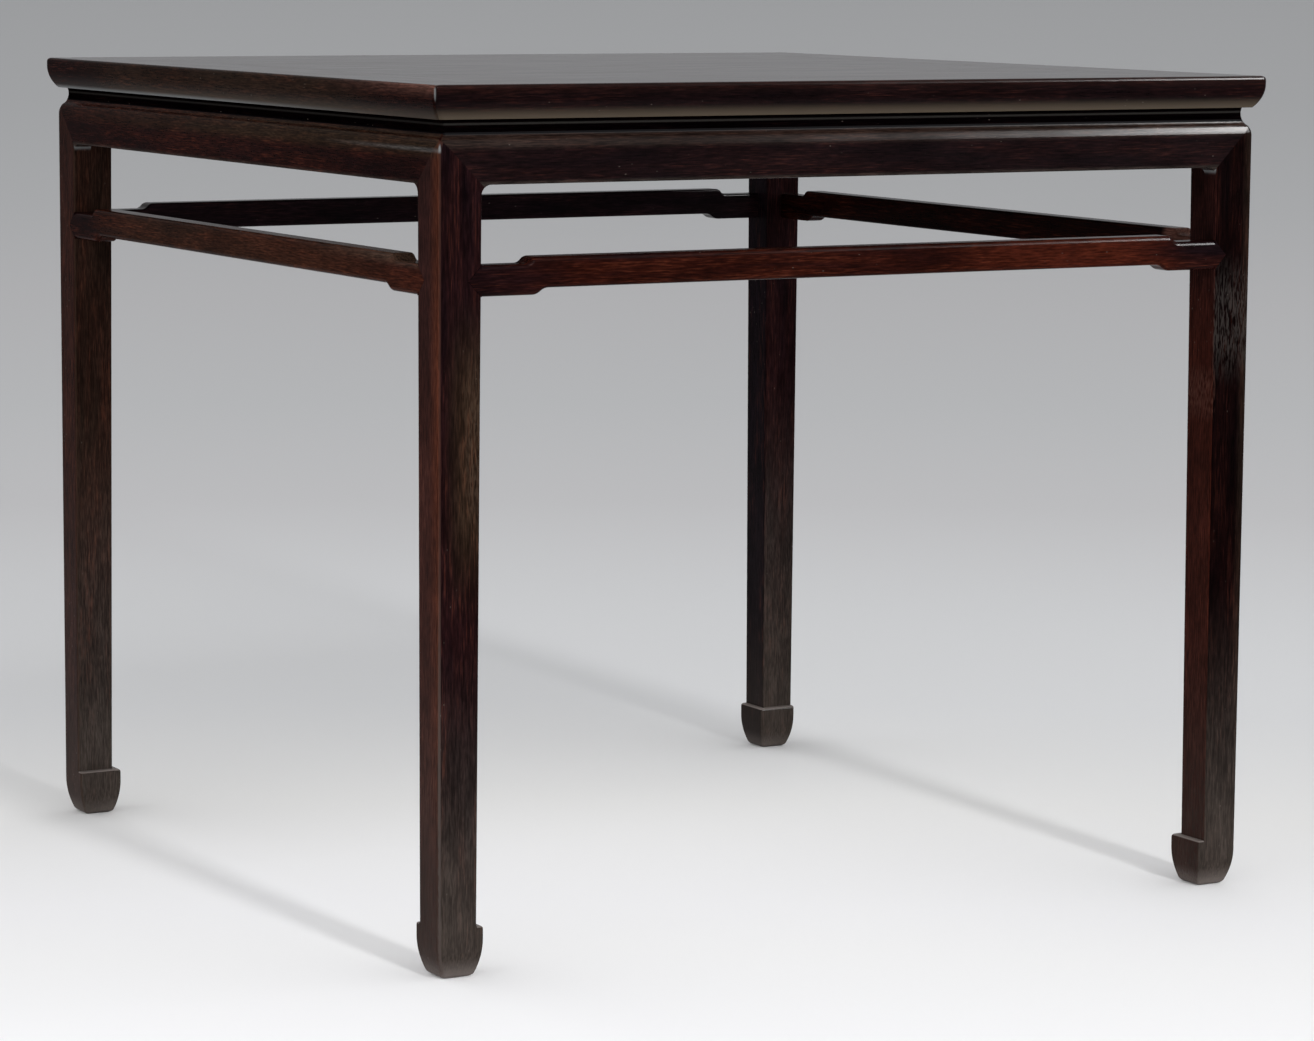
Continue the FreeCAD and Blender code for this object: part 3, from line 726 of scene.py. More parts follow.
def make_board(size, index):
    """One board of the panel, eased along its upper edges."""
    half = HALF_TOP - FRAME_WIDTH
    width = 2 * half / size.board_count
    gap = size.seam_ease / 2
    front = -half + index * width + gap / 2
    back = -half + (index + 1) * width - gap / 2
    board = add_block("board", (-half + gap, front, TOP_LEVEL - size.panel_thickness),
                      (half - gap, back, TOP_LEVEL))
    edit(board)
    pick(board, "edges", lambda edge: all(vert.co.z > TOP_LEVEL - SKIN for vert in edge.verts))
    bevel(size.seam_ease, 2)
    leave()
    return board


class TABLE_OT_top(bpy.types.Operator):
    """Mitred top frame and the boards of its panel"""
    bl_idname = "table.top"
    bl_label = "Top"

    def execute(self, context):
        size = context.scene.table_sizes
        wood = context.scene.table_wood
        members = lay_round(context, make_frame_member(size), "frame")
        for quarter, (side, member) in enumerate(zip(SIDES, members)):
            member.data.materials.append(top_wood(wood, side, quarter))
            for face in member.data.polygons:
                face.material_index = 1 if face.normal.z > LEVEL_FACE else 0
        for index in range(size.board_count):
            board = make_board(size, index)
            smooth(board)
            board.name = board.data.name = "wood_board_%d" % (index + 1)
            set_in(board, board_wood(wood, index), "panel_board_%d" % (index + 1))
        return {"FINISHED"}


# ---- Stretchers ------------------------------------------------------------------------------
def stretcher_outline(size):
    """Face view of the front stretcher between the legs, drawn for editing."""
    low = STRETCHER_LOW
    top = low + size.stretcher_height
    rise = size.hump_rise
    y = -HALF_LEG
    end = HALF_LEG - leg_at(size, stretcher_middle(size)) + 10 * SKIN
    high_near = end - size.upper_bend_start
    high_far = high_near - size.upper_bend_length
    low_near = end - size.lower_bend_start
    low_far = low_near - size.lower_bend_length
    along = Vector((1, 0, 0))

    def s_bend(x0, z0, x1, z1):
        ahead = along if x1 > x0 else -along
        return [(Vector(((x0 + x1) / 2, y, (z0 + z1) / 2)), ahead), (Vector((x1, y, z1)), None)]

    return draw(
        "stretcher", Vector((-end, y, low)), Vector((-end, y, top)), Vector((-high_near, y, top)),
        *s_bend(-high_near, top, -high_far, top + rise),
        Vector((high_far, y, top + rise)), *s_bend(high_far, top + rise, high_near, top),
        Vector((end, y, top)), Vector((end, y, low)), Vector((low_near, y, low)),
        *s_bend(low_near, low, low_far, low + rise),
        Vector((-low_far, y, low + rise)), *s_bend(-low_far, low + rise, -low_near, low))


def is_long_edge(edge, y):
    """True on the edges that run along the stretcher on the face at y."""
    on_face = all(abs(vert.co.y - y) < SKIN for vert in edge.verts)
    return on_face and abs(edge.verts[0].co.x - edge.verts[1].co.x) > SKIN


def make_stretcher(size):
    """Front stretcher: hump, rounded arrises and pointed shoulders."""
    bar = close_and_extrude(stretcher_outline(size), Vector((0, STRETCHER_THICKNESS, 0)))
    edit(bar)
    pick(bar, "edges", lambda edge: is_long_edge(edge, -HALF_LEG))
    bevel(size.stretcher_arris, 7)
    pick(bar, "edges", lambda edge: is_long_edge(edge, -HALF_LEG + STRETCHER_THICKNESS))
    bevel(size.stretcher_back_arris, 4)
    leave()
    root = leg_at(size, stretcher_middle(size)) + 2 * SKIN

    def right(u, v, z):
        return Vector((HALF_LEG - u, v - HALF_LEG, z))

    points = [stretcher_point(size, place, 0.0, SKIN, root) for place in (corner, right)]
    only(bar)
    for point in points:
        point.select_set(True)
    bpy.ops.object.join()
    return bar


class TABLE_OT_stretchers(bpy.types.Operator):
    """Four humpback stretchers"""
    bl_idname = "table.stretchers"
    bl_label = "Stretchers"

    def execute(self, context):
        lay_round(context, make_stretcher(context.scene.table_sizes), "stretcher")
        return {"FINISHED"}


# ---- Wood ------------------------------------------------------------------------------------
def add(tree, kind, settings=None, **links):
    """Adds a node; settings are its attributes or numbered inputs, links its inputs by name."""
    node = tree.nodes.new(kind)
    for key, value in (settings or {}).items():
        if isinstance(key, int) or key in node.inputs:
            node.inputs[key].default_value = value
        else:
            setattr(node, key, value)
    for key, socket in links.items():
        tree.links.new(socket, node.inputs[int(key[1:]) if key[1:].isdigit() else key])
    return node


def new_material(name):
    """Empty node material with its shader: (material, tree, shader)."""
    material = bpy.data.materials.new(name)
    material.use_nodes = True
    tree = material.node_tree
    tree.nodes.clear()
    shader = add(tree, "ShaderNodeBsdfPrincipled")
    output = add(tree, "ShaderNodeOutputMaterial")
    tree.links.new(shader.outputs[0], output.inputs[0])
    return material, tree, shader


def ramp(tree, factor, *stops):
    """Colour ramp with (position, colour) stops."""
    node = add(tree, "ShaderNodeValToRGB", _0=factor)
    elements = node.color_ramp.elements
    while len(elements) < len(stops):
        elements.new(1.0)
    for element, (position, value) in zip(elements, stops):
        element.position = position
        element.color = (*value, 1.0)
    return node.outputs[0]


def blend(first, second, share):
    """Colour between two colours."""
    return [a + (b - a) * share for a, b in zip(first, second)]


def fade(tree, value, start, end, low=0.0, high=1.0):
    """Goes smoothly from low to high as value goes from start to end."""
    return add(tree, "ShaderNodeMapRange", {"interpolation_type": "SMOOTHSTEP", 1: start, 2: end,
                                            3: low, 4: high}, _0=value).outputs[0]


def maths(tree, operation, first, second=None):
    """Result of an arithmetic node; the second value may be a number."""
    if second is None:
        return add(tree, "ShaderNodeMath", {"operation": operation}, _0=first).outputs[0]
    if isinstance(second, float):
        return add(tree, "ShaderNodeMath", {"operation": operation, 1: second}, _0=first).outputs[0]
    return add(tree, "ShaderNodeMath", {"operation": operation}, _0=first, _1=second).outputs[0]


def times(tree, first, second):
    """Product of two values; the second may be a number."""
    return maths(tree, "MULTIPLY", first, second)


def tint(tree, share, under, over):
    """The colour over laid on the colour socket under."""
    return add(tree, "ShaderNodeMix", {"data_type": "RGBA", 7: (*over, 1.0)},
               _0=share, _6=under).outputs[2]


def cells(tree, place, along, long_mm, wide_mm, shift):
    """Coordinates in cells of long by wide millimetres, drawn out along one axis."""
    scale = [1 / (wide_mm * MM)] * 3
    scale["XYZ".index(along)] = 1 / (long_mm * MM)
    return add(tree, "ShaderNodeMapping", {"Location": (shift, 1.7 * shift, 2.3 * shift),
                                           "Scale": scale}, Vector=place).outputs[0]


def noise(tree, vector, detail, distortion=0.0):
    """Cloudy value round 0.5."""
    return add(tree, "ShaderNodeTexNoise", {"Scale": 1.0, "Detail": detail, "Roughness": 0.55,
                                            "Distortion": distortion}, Vector=vector).outputs[0]


def patch(tree, place, facing, limits, broken=None):
    """1 inside a box of limits {axis: (low, high, softness)} in millimetres, and broken up.

    The limit "left" keeps it to faces turned towards -X, and "arris" to rounded arrises.
    """
    axes = add(tree, "ShaderNodeSeparateXYZ", _0=place).outputs
    turned = add(tree, "ShaderNodeSeparateXYZ", _0=facing).outputs
    share = None
    for axis, limit in limits.items():
        if axis == "left":
            inside = fade(tree, turned["X"], -0.55, -0.85)
        elif axis == "arris":
            steepest = maths(tree, "MAXIMUM", maths(tree, "ABSOLUTE", turned["X"]),
                             maths(tree, "ABSOLUTE", turned["Y"]))
            steepest = maths(tree, "MAXIMUM", steepest, maths(tree, "ABSOLUTE", turned["Z"]))
            inside = fade(tree, steepest, 0.97, 0.85)
        else:
            low, high, soft = (value * MM for value in limit)
            off = maths(tree, "ABSOLUTE", maths(tree, "SUBTRACT", axes[axis], (low + high) / 2))
            half = (high - low) / 2
            inside = fade(tree, off, half + soft, half - soft)
        share = inside if share is None else times(tree, share, inside)
    if broken is not None:
        share = times(tree, share, fade(tree, broken, 0.42, 0.60))
    return share


def rosewood(name, look, along, shift, red, light, level=0.05, stains=(), wear=(), recess_shade=None):
    """Waxed rosewood: dense, near black, with clouded red-brown figure and fine dark fibre.

    Sawn, planed and polished with wax, so it gives a satin sheen. The fibre and pores are so fine
    that they are drawn a little coarser, as short streaks along the member, with orange flecks
    where the figure is strong and pale specks of wax where a pore is open. The pattern is moved by
    shift, so that no two pieces share it. Stains, under the grain, are (colour, strength, limits),
    and wear, over it, has whether it is broken up by the fibre as well; both also carry painted
    sheen, painted highlights and painted shade. Above the level given as the last argument, the
    wood is painted black, as shade in the recess under the waist, and made dull.
    """
    material, tree, shader = new_material(name)
    coordinates = add(tree, "ShaderNodeTexCoord").outputs
    place, facing = coordinates["Object"], coordinates["Normal"]
    figure = noise(tree, cells(tree, place, along, 150, 17, shift), 5.0, 0.4)
    streaks = noise(tree, cells(tree, place, along, 26, 1.5, shift + 11.3), 2.0)
    fibre = noise(tree, cells(tree, place, along, 9, 1.1, shift + 23.9), 1.0)
    cloud = noise(tree, cells(tree, place, along, 90, 30, shift + 31.1), 3.0)
    ember = blend(look.figure, look.ember, red)
    wood = ramp(tree, figure, (0.28, [c * light for c in blend(look.dark, ember, 0.15)]),
                (0.50, [c * light for c in blend(look.dark, ember, 0.6)]),
                (0.76, [c * light for c in ember]))
    for tone, strength, limits in stains:
        share = patch(tree, place, facing, limits)
        wood = tint(tree, times(tree, share, strength), wood, tone)
    flecks = times(tree, fade(tree, streaks, 0.50, 0.72), fade(tree, figure, 0.42, 0.62))
    wood = tint(tree, times(tree, flecks, light * (0.2 + 0.5 * red)), wood, look.brick)
    depth = times(tree, fade(tree, streaks, 0.30, 0.70, 0.60, 1.40),
                  fade(tree, fibre, 0.30, 0.70, 0.72, 1.28))
    depth = times(tree, depth, fade(tree, cloud, 0.30, 0.70, 0.78, 1.22))
    wood = add(tree, "ShaderNodeVectorMath", {"operation": "SCALE"}, _0=wood, Scale=depth).outputs[0]
    for tone, strength, limits, is_broken in wear:
        share = patch(tree, place, facing, limits, fibre if is_broken else None)
        wood = tint(tree, times(tree, share, strength), wood, tone)
    grains = add(tree, "ShaderNodeTexVoronoi", {"Scale": 1.0},
                 Vector=cells(tree, place, along, 7, 3.4, shift + 5.3)).outputs
    chance = add(tree, "ShaderNodeSeparateColor", _0=grains["Color"]).outputs[0]
    speck = times(tree, fade(tree, grains["Distance"], 0.20, 0.08),
                  fade(tree, chance, 0.88, 0.98, 0.0, 0.5))
    speck = times(tree, speck, fade(tree, cloud, 0.46, 0.62))
    wood = tint(tree, speck, wood, look.dust)
    rough = fade(tree, cloud, 0.35, 0.65, 0.17, 0.20)
    # Above the given level the wood is painted black, as shade in the recess under the waist, and made
    # dull
    if recess_shade is not None:
        height = add(tree, "ShaderNodeSeparateXYZ", _0=place).outputs["Z"]
        dull = fade(tree, height, recess_shade - 1.0 * MM, recess_shade + 0.5 * MM)
        wood = tint(tree, dull, wood, look.recess_shade)
        rough = maths(tree, "MAXIMUM", rough, times(tree, dull, 0.9))
    tree.links.new(wood, shader.inputs["Base Color"])
    tree.links.new(rough, shader.inputs["Roughness"])

    waves = add(tree, "ShaderNodeBump", {"Strength": 0.12, "Distance": 0.5 * MM},
                Height=cloud).outputs[0]
    grain = add(tree, "ShaderNodeBump", {"Strength": 0.30, "Distance": 0.05 * MM},
                Height=streaks, Normal=waves).outputs[0]
    tree.links.new(grain, shader.inputs["Normal"])
    shader.inputs["IOR"].default_value = 1.5
    shader.inputs["Specular IOR Level"].default_value = level
    return material


# How red and how light the wood of each member is, and how strongly its wax shines
MEMBER_TONES = {
    "apron": {"front": (0.15, 0.43, 0.05), "left": (0.6, 0.50, 0.01)},
    # The waist is made nearly black: painted shade of its recess under the top
    "waist": {"front": (0.0, 0.1, 0.0), "left": (0.0, 0.1, 0.0)},
    "frame": {"front": (0.2, 0.32, 0.04), "left": (0.4, 0.42, 0.01)},
    "stretcher": {"front": (1.0, 0.52, 0.025), "left": (0.9, 0.56, 0.01), "back": (0.0, 0.7, 0.03),
                  "right": (0.8, 0.24, 0.01)},
}
MEMBER_DEFAULT = (0.2, 0.6, 0.05)
LEG_TONES = {"front_left": (0.2, 0.62), "front_right": (0.3, 0.20), "back_right": (0.2, 0.70),
             "back_left": (0.3, 0.85)}
LEG_SHINE = 0.012
TOP_TONES = (0.2, 0.7, 0.35)     # the polished upper face


# The patches below are placed in millimetres from the middle of the table and from the floor. A
# limit far outside the piece leaves that end open.
def shoulder_sheen(look):
    """Painted sheen along the moulded shoulder of the left side, as a brown band, and a painted highlight
    on the line where it turns.
    """
    high = APRON_TOP / MM
    return ([(look.ochre, 0.45, {"left": None, "Z": (high - 22, high - 1, 6), "Y": (-900, 200, 450)}),
             (look.painted_glint, 0.25, {"left": None, "Z": (high - 18, high - 15, 2), "Y": (-900, -330, 150)})])


def side_wood(look, size, part, side, quarter):
    """Rosewood of a member that runs along one side."""
    order = ("apron", "waist", "frame", "stretcher").index(part)
    red, light, level = MEMBER_TONES[part].get(side, MEMBER_DEFAULT)
    low, high = FRAME_UNDERSIDE / MM, TOP_LEVEL / MM
    stains, wear, recess_shade = [], [], None
    if side == "left" and part in ("frame", "stretcher"):
        stains.append((look.ochre, 0.25, {"Y": (-330, 330, 120)}))
    if part == "frame":
        edge = HALF_TOP / MM
        # Painted glint down the front left corner of the moulded edge
        wear.append((look.painted_glint, 0.8, {"X": (-edge - 5, -edge + 2, 0.8), "Y": (-edge - 5, -edge + 2, 0.8),
                                      "Z": (high - 17, high - 2, 3)}, False))
        # The lower sweep of the edge gets a painted reflection of the floor; on the left side a painted
        # highlight also runs along its lower edge towards the back
        if side == "left":
            stains.append((look.pink_rub_and_sheen, 0.95, {"Z": (high - 7, high + 20, 8), "Y": (-900, -360, 170)}))
            wear += [(look.floor_sheen, 0.40, {"Z": (low - 20, low + 6, 7), "Y": (-900, 300, 300)}, False),
                     (look.painted_glint, 0.95, {"Z": (low - 20, low + 1.8, 3), "Y": (-150, 900, 300)}, False)]
        else:
            stains.append((look.wine, 0.5, {"Z": (high - 6, high + 20, 6)}))
            wear.append((look.floor_sheen, 0.92, {"Z": (low - 20, low + 5.5, 7)}, False))
    if part == "waist":
        # Painted reflection of the floor on the upper part of the waist
        wear.append((look.strip, 0.95 if side == "front" else 0.5,
                     {"Z": (low - 5.6, low - 3.8, 0.9)}, False))
    if part == "apron":
        # Along the top of the apron, under the waist, the wood is painted black as shade
        recess_shade = APRON_TOP - (1.0 if side == "left" else 2.0) * MM
        bottom = apron_bottom(size) / MM
        if side == "left":
            stains += shoulder_sheen(look)
        else:
            # Painted sheen along the front shoulder, as a brown band
            stains.append((look.wear_and_sheen, 0.22, {"Z": (APRON_TOP / MM - 15, APRON_TOP / MM - 1, 4)}))
        # Painted reflection of the floor along the apron's lower edge
        stains.append((look.dust_and_floor_sheen, 0.5, {"Z": (bottom - 5, bottom + 2.5, 2)}))
    if part == "stretcher":
        top = STRETCHER[1].z / MM
        if side == "left":
            stains += [(look.brick, 0.22, {"Y": (-900, 0, 350)}),
                       (look.dark, 0.45, {"Y": (372, 900, 25)}),
                       (look.wear_and_sheen, 0.8, {"Z": (top - 9, top + 20, 5), "Y": (-900, -300, 150)})]
        if side == "right":
            stains.append((look.pink_rub_and_sheen, 0.95, {"Z": (top - 13, top + 20, 2), "Y": (-900, -358, 6)}))
        if side == "front":
            stains += [(look.ember, 0.5, {"X": (130, 350, 50)}), (look.dark, 0.5, {"X": (385, 900, 30)}),
                       (look.dark, 0.7, {"X": (-900, -375, 70)})]
    return rosewood("rosewood_%s_%s" % (part, side), look, "XY"[quarter % 2],
                    1.7 * quarter + 7.3 * order, red, light, level, stains, wear, recess_shade)


def leg_wood(look, size, name, quarter):
    """Rosewood of a leg, with the stains and wear of its place, painted sheen and highlights, and painted
    shade.
    """
    red, light = LEG_TONES[name]
    side = HALF_LEG / MM
    # Dust and a painted reflection of the floor make the lower leg greyer; the foot gets a painted pale
    # reflection of the floor
    dust_and_sheen_to, soft = (150, 190) if name.startswith("front") else (250, 250)
    stains = [(look.dust_and_floor_sheen, 0.95, {"Z": (-1000, dust_and_sheen_to, soft)})]
    wear = [(look.dust_and_floor_sheen, 0.45, {"Z": (-1000, 90, 110)}, False),
            (look.pale, 0.75 if name.startswith("front") else 0.4, {"Z": (-100, 8, 15)}, False)]
    inner = side - size.leg_size / MM
    spandrel = {"Z": (apron_bottom(size) / MM - 7, APRON_TOP / MM, 2)}
    if name == "front_left":
        stains = [(look.russet, 0.30, {"left": None}),
                  (look.russet, 0.65, {"left": None, "Z": (-900, 560, 140)}),
                  (look.brick, 0.60, {"left": None, "Y": (-side - 5, -side + 14, 9)}),
                  (look.ochre, 0.45, {"X": (-side + 16, -side + 60, 14), "Z": (400, 610, 60)})] + stains
        stains += [(look.wine, 0.4, {"left": None, "Z": (-900, 400, 150)})] + shoulder_sheen(look)
        # A lighter line along the front left arris: partly rub marks, partly a painted highlight
        corner_arris_sheen = {"arris": None, "X": (-side - 5, -side + 8, 2), "Y": (-side - 5, -side + 8, 2)}
        wear += [(look.pink_rub_and_sheen, 0.30, corner_arris_sheen, False),
                 (look.scuff_and_sheen, 0.70, {**corner_arris_sheen, "Z": (-100, 330, 170)}, False),
                 (look.wine, 0.5, {"left": None, "Z": (3, 150, 60)}, True),
                 # Painted glint on the corner of the moulded shoulder
                 (look.painted_glint, 0.85, {"X": (-side - 5, -side + 2.2, 0.8), "Y": (-side - 5, -side + 2.2, 0.8),
                                    "Z": (APRON_TOP / MM - 18, APRON_TOP / MM - 8, 2)}, False),
                 (look.wear_and_sheen, 0.5, {"X": (-side + 30, -side + 50, 9), "Y": (-side - 5, -side + 1.5, 1),
                                   "Z": (455, 580, 40)}, True)]
    if name == "front_right":
        stains = [(look.wine, 0.85, {"left": None}),
                  # The top of the inner face, under the apron, is painted dark as shade
                  (look.dark, 0.80, {"left": None, "Z": (610, 900, 60)}),
                  (look.ember, 0.45, {"left": None, "Z": (-900, 640, 60)}),
                  (look.wear_and_sheen, 0.15, {"X": (side - 9, side + 9, 5)})] + stains
        stains.append((look.wine, 0.55, {"left": None}))
        wear += [(look.wine, 0.6, {"left": None, "Z": (3, 150, 60)}, True),
                 (look.scuff_and_sheen, 0.35, {"Y": (-side - 5, -side + 1.5, 1), "Z": (560, 652, 30)}, True),
                 # Painted highlight under the curve between apron and leg
                 (look.painted_glint, 0.55, {"X": (inner - 12, inner - 1, 1), **spandrel}, False),
                 (look.pink_rub_and_sheen, 0.4, {"X": (inner - 5, inner + 4.0, 2), "Z": (505, 550, 10)}, True)]
    if name == "back_left":
        stains = [(look.ochre, 0.30, {"Z": (200, 900, 200)})] + stains + [(look.wine, 0.7, {"left": None})]
        # A lighter line along the arris, partly a painted highlight, and a painted highlight under the
        # curve to the apron
        wear += [(look.wear_and_sheen, 0.3, {"arris": None, "X": (-side - 5, -side + 8, 2)}, False),
                 (look.painted_glint, 0.55, {"Y": (inner - 12, inner - 1, 1), **spandrel}, False)]
    if name == "back_right":
        # Faces turned towards -X, inside the table, are painted darker as shade
        stains.append((look.dark, 0.9, {"left": None}))
    # The ledge of the hoof gets a painted highlight; it runs along the two inner faces
    ledge = side - (size.leg_size - size.leg_taper + size.hoof_step) / MM + 3.4    # about its middle
    ledge_level = size.hoof_height / MM
    across = -1 if name.endswith("left") else 1
    away = -1 if name.startswith("front") else 1
    for axis, way in (("X", across), ("Y", away)):
        wear.append((look.pale, 0.9, {axis: (way * ledge - 4, way * ledge + 4, 0.4),
                                      "Z": (ledge_level - 1.1, ledge_level + 0.4, 0.3)}, False))
    return rosewood("rosewood_leg_" + name, look, "Z", 41.0 + 2.9 * quarter, red, light, LEG_SHINE,
                    stains, wear)


def top_wood(look, side, quarter):
    """Rosewood of the upper face of a frame member, polished like the panel."""
    return rosewood("rosewood_frame_top_" + side, look, "XY"[quarter % 2], 81.0 + 1.9 * quarter,
                    *TOP_TONES)


def board_wood(look, index):
    """Rosewood of a board of the panel."""
    return rosewood("rosewood_board_%d" % (index + 1), look, "X", 61.0 + 3.7 * index, *TOP_TONES)


class TABLE_OT_hidden_wood(bpy.types.Operator):
    """Planed secondary wood for the battens and keys under the top"""
    bl_idname = "table.hidden_wood"
    bl_label = "Battens and keys"

    def execute(self, context):
        look = context.scene.table_wood
        for name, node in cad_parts.items():
            if not name.startswith(("batten", "key")):
                continue
            along = "Y" if name.startswith("batten") else "Z"
            node.data.materials.clear()
            node.data.materials.append(secondary_wood("secondary_" + name, look, along, len(name)))
        return {"FINISHED"}


def secondary_wood(name, look, along, shift):
    """Plain close-grained hardwood, planed and left without wax, so it is dull and lighter."""
    material, tree, shader = new_material(name)
    place = add(tree, "ShaderNodeTexCoord").outputs["Object"]
    figure = noise(tree, cells(tree, place, along, 180, 6, shift), 5.0)
    tree.links.new(ramp(tree, figure, (0.3, look.second_dark), (0.7, look.second_light)),
                   shader.inputs["Base Color"])
    bump = add(tree, "ShaderNodeBump", {"Strength": 0.3, "Distance": 0.1 * MM}, Height=figure)
    tree.links.new(bump.outputs[0], shader.inputs["Normal"])
    shader.inputs["Roughness"].default_value = 0.62
    return material


# ---- Studio ----------------------------------------------------------------------------------
# The floor's pool of light is painted into its colour; these place it.
POOL_CENTRE = (-1.49, -2.61, 0.0)       # brightest part of the floor, in front of the table
POOL_TONES = ((2.13, "#f6f6f8"), (2.5, "#f0f0f1"), (2.72, "#ececee"), (3.26, "#e0e0e0"),
              (3.93, "#d1d2d4"), (4.8, "#c5c6c8"), (6.0, "#b8b8ba"), (7.7, "#b2b3b5"),
              (10.4, "#afafb1"), (15.0, "#a9aaac"), (26.0, "#a4a5a7"), (77.0, "#a0a1a3"))
POOL_LINE = (0.495, 0.869, 0.0)         # the lit strip of the floor runs this way past the table
POOL_START = 4.72                       # its narrow end before the table's centre


def floor_paper(name):
    """Matt studio paper, with a pool of light painted into its colour: white in front of the table and
    greyer beyond.
    """
    material, tree, shader = new_material(name)
    place = add(tree, "ShaderNodeTexCoord").outputs["Object"]
    away = add(tree, "ShaderNodeVectorMath", {"operation": "DISTANCE", 1: POOL_CENTRE},
               _0=place).outputs["Value"]
    nearest, farthest = 2.0, 80.0
    decades = maths(tree, "LOGARITHM", away, 10.0)
    share = add(tree, "ShaderNodeMapRange", {1: math.log10(nearest), 2: math.log10(farthest)},
                _0=decades).outputs[0]
    tone = ramp(tree, share, *((math.log(metres / nearest, farthest / nearest), linear(code))
                               for metres, code in POOL_TONES))
    ahead = add(tree, "ShaderNodeVectorMath", {"operation": "DOT_PRODUCT", 1: POOL_LINE},
                _0=place).outputs["Value"]
    aside = add(tree, "ShaderNodeVectorMath", {"operation": "DOT_PRODUCT",
                                               1: (POOL_LINE[1], -POOL_LINE[0], 0.0)},
                _0=place).outputs["Value"]
    from_start = maths(tree, "MAXIMUM", maths(tree, "ADD", ahead, POOL_START), 0.5)
    spread = maths(tree, "DIVIDE", maths(tree, "ABSOLUTE", aside), from_start)
    centre = add(tree, "ShaderNodeVectorMath", {"operation": "LENGTH"}, _0=place).outputs["Value"]
    # Outside the lit strip the floor is painted darker grey, as unlit paper
    outside = times(tree, fade(tree, spread, 0.30, 0.6), fade(tree, centre, 0.9, 2.2))
    outside = maths(tree, "MAXIMUM", outside, fade(tree, ahead, -1.1, -2.2))
    tree.links.new(tint(tree, outside, tone, linear("#8f9092")), shader.inputs["Base Color"])
    shader.inputs["Roughness"].default_value = 0.9
    shader.inputs["Specular IOR Level"].default_value = 0.0
    return material


def studio_world():
    """Light tent: soft light from all round, low down, against pale grey paper.

    Only its light reaches the matt parts; what is seen of it, directly or as a gloss, is the grey
    paper, which turns to white overhead.
    """
    world = bpy.data.worlds.new("studio")
    world.use_nodes = True
    tree = world.node_tree
    tree.nodes.clear()
    rays = add(tree, "ShaderNodeLightPath").outputs
    seen = maths(tree, "MAXIMUM", maths(tree, "MAXIMUM", rays["Is Camera Ray"], rays["Is Glossy Ray"]),
                 rays["Is Transmission Ray"])
    direction = add(tree, "ShaderNodeTexCoord").outputs["Generated"]
    height = add(tree, "ShaderNodeSeparateXYZ", _0=direction).outputs[2]
    paper = ramp(tree, height, (0.25, linear("#a0a1a3")), (0.70, (1.0, 1.0, 1.0)))
    backdrop = add(tree, "ShaderNodeBackground", _0=paper).outputs[0]
    fill = add(tree, "ShaderNodeBackground", {0: (1.0, 1.0, 1.0, 1.0)},
               _1=fade(tree, height, 0.64, 0.82, 1.6, 0.15)).outputs[0]
    mixed = add(tree, "ShaderNodeMixShader", None, _0=seen, _1=fill, _2=backdrop).outputs[0]
    output = add(tree, "ShaderNodeOutputWorld")
    tree.links.new(mixed, output.inputs[0])
    return world


def add_lamp(name, place, aim, width, height, power, lights_matt=True, roll=0.0):
    """Soft rectangular lamp that faces aim, rolled in its own plane, and isn't seen itself."""
    data = bpy.data.lights.new(name, "AREA")
    data.shape = "RECTANGLE"
    data.size = width
    data.size_y = height
    data.energy = power
    lamp = bpy.data.objects.new(name, data)
    bpy.context.scene.collection.objects.link(lamp)
    place = Vector(place)
    facing = (Vector(aim) - place).to_track_quat("-Z", "Y").to_matrix().to_4x4()
    lamp.matrix_world = Matrix.Translation(place) @ facing @ Matrix.Rotation(roll, 4, "Z")
    lamp.visible_camera = False
    lamp.visible_diffuse = lights_matt


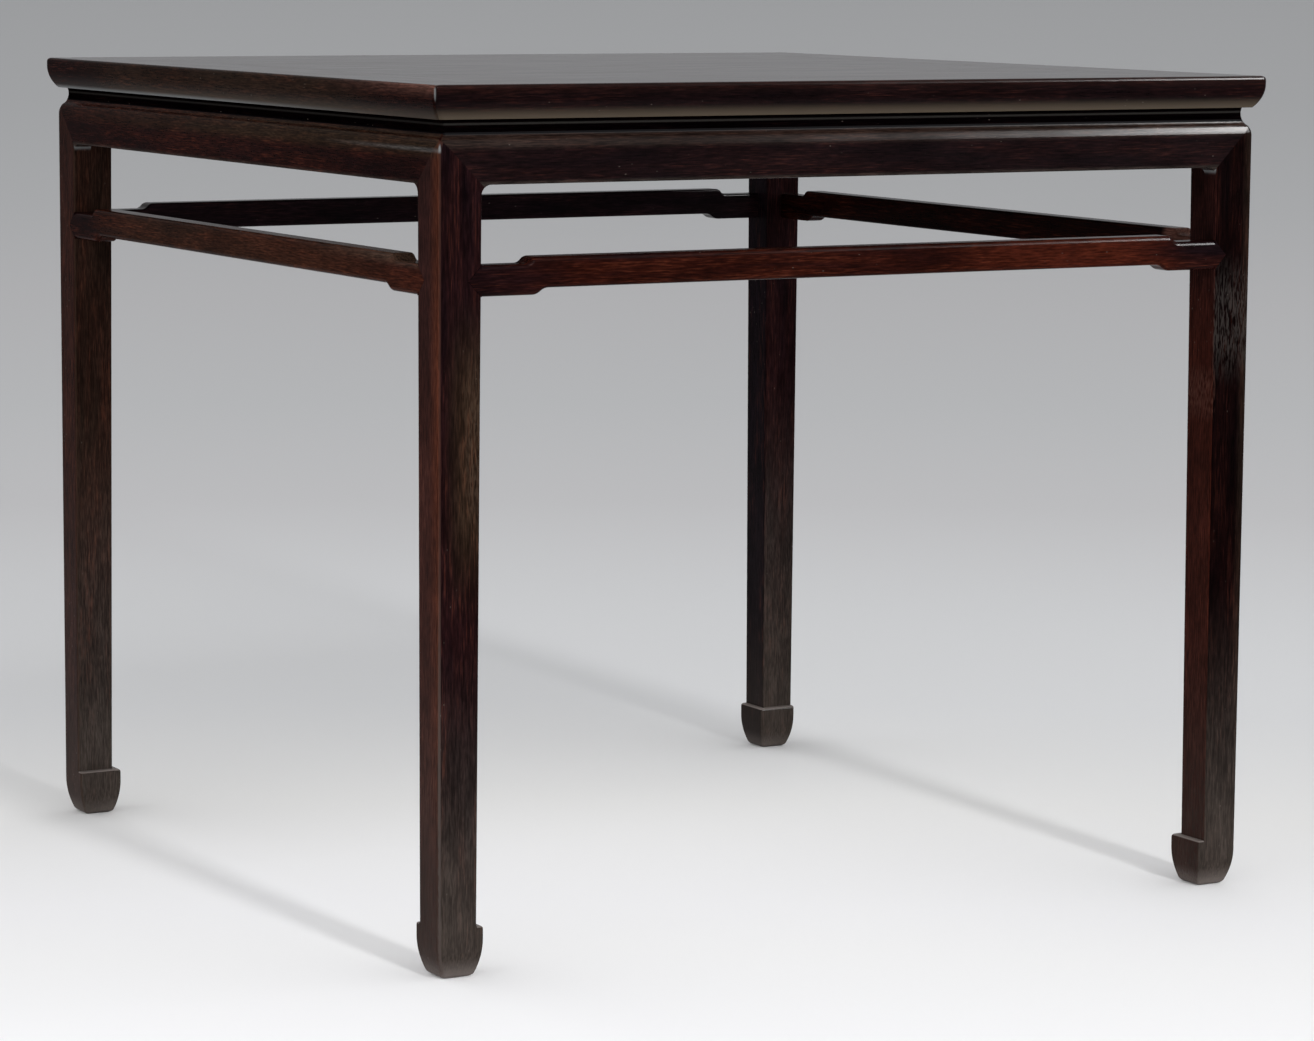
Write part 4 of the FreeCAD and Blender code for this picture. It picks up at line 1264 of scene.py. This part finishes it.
class TABLE_OT_studio(bpy.types.Operator):
    """Pale floor, soft light and the camera"""
    bl_idname = "table.studio"
    bl_label = "Studio"

    def execute(self, context):
        look = context.scene.table_studio
        bpy.ops.object.select_all(action="DESELECT")
        bpy.ops.mesh.primitive_circle_add(vertices=64, radius=look.floor_radius, fill_type="NGON")
        floor = context.object
        floor.name = floor.data.name = "floor"
        floor.data.materials.append(floor_paper("studio_paper"))
        context.scene.world = studio_world()
        # A long strip, high in front of the table
        add_lamp("key_strip", place=(0.0, -12.0, 7.0), aim=(0.0, 0.0, 0.4), width=0.9, height=10.0,
                 power=800.0)
        # In front to the right: it shows only in the gloss of the wax
        add_lamp("end_light", place=(3.2, -3.0, 2.75), aim=(0.7, -0.47, 0.8), width=0.6, height=2.4,
                 power=800.0, lights_matt=False, roll=math.radians(-29))

        data = bpy.data.cameras.new("camera")
        data.lens = look.camera_lens
        data.sensor_width = 36.0
        data.clip_start = 0.1
        data.clip_end = 300.0
        camera = bpy.data.objects.new("camera", data)
        context.scene.collection.objects.link(camera)
        aim = Euler((QUARTER - look.camera_tilt, 0, -look.camera_turn)).to_matrix().to_4x4()
        camera.matrix_world = (Matrix.Translation(look.camera_place) @ aim
                               @ Matrix.Rotation(look.camera_roll, 4, "Z"))
        context.scene.camera = camera
        context.scene.view_settings.view_transform = "Standard"
        return {"FINISHED"}


# ---- Add-on ----------------------------------------------------------------------------------
OPERATORS = (TABLE_OT_legs, TABLE_OT_aprons, TABLE_OT_waist, TABLE_OT_top, TABLE_OT_stretchers,
             TABLE_OT_hidden_wood, TABLE_OT_studio)


class TABLE_PT_panel(bpy.types.Panel):
    """Lists the pieces of the table"""
    bl_label = "Eight-seat table"
    bl_idname = "TABLE_PT_panel"
    bl_space_type = "VIEW_3D"
    bl_region_type = "UI"
    bl_category = "Table"

    def draw(self, context):
        for operator in OPERATORS:
            self.layout.operator(operator.bl_idname)


CLASSES = (TableSizes, WoodLook, StudioLook, *OPERATORS, TABLE_PT_panel)


def register():
    """Registers the classes and hangs the sizes and colours on the scene."""
    for item in CLASSES:
        bpy.utils.register_class(item)
    bpy.types.Scene.table_sizes = bpy.props.PointerProperty(type=TableSizes)
    bpy.types.Scene.table_wood = bpy.props.PointerProperty(type=WoodLook)
    bpy.types.Scene.table_studio = bpy.props.PointerProperty(type=StudioLook)


def unregister():
    """Takes away what register added."""
    del bpy.types.Scene.table_sizes, bpy.types.Scene.table_wood, bpy.types.Scene.table_studio
    for item in reversed(CLASSES):
        bpy.utils.unregister_class(item)


def main():
    """Builds the scene."""
    register()
    bpy.ops.table.legs()
    bpy.ops.table.aprons()
    bpy.ops.table.waist()
    bpy.ops.table.top()
    bpy.ops.table.stretchers()
    bpy.ops.table.hidden_wood()
    bpy.ops.table.studio()


if __name__ == "__main__":
    main()
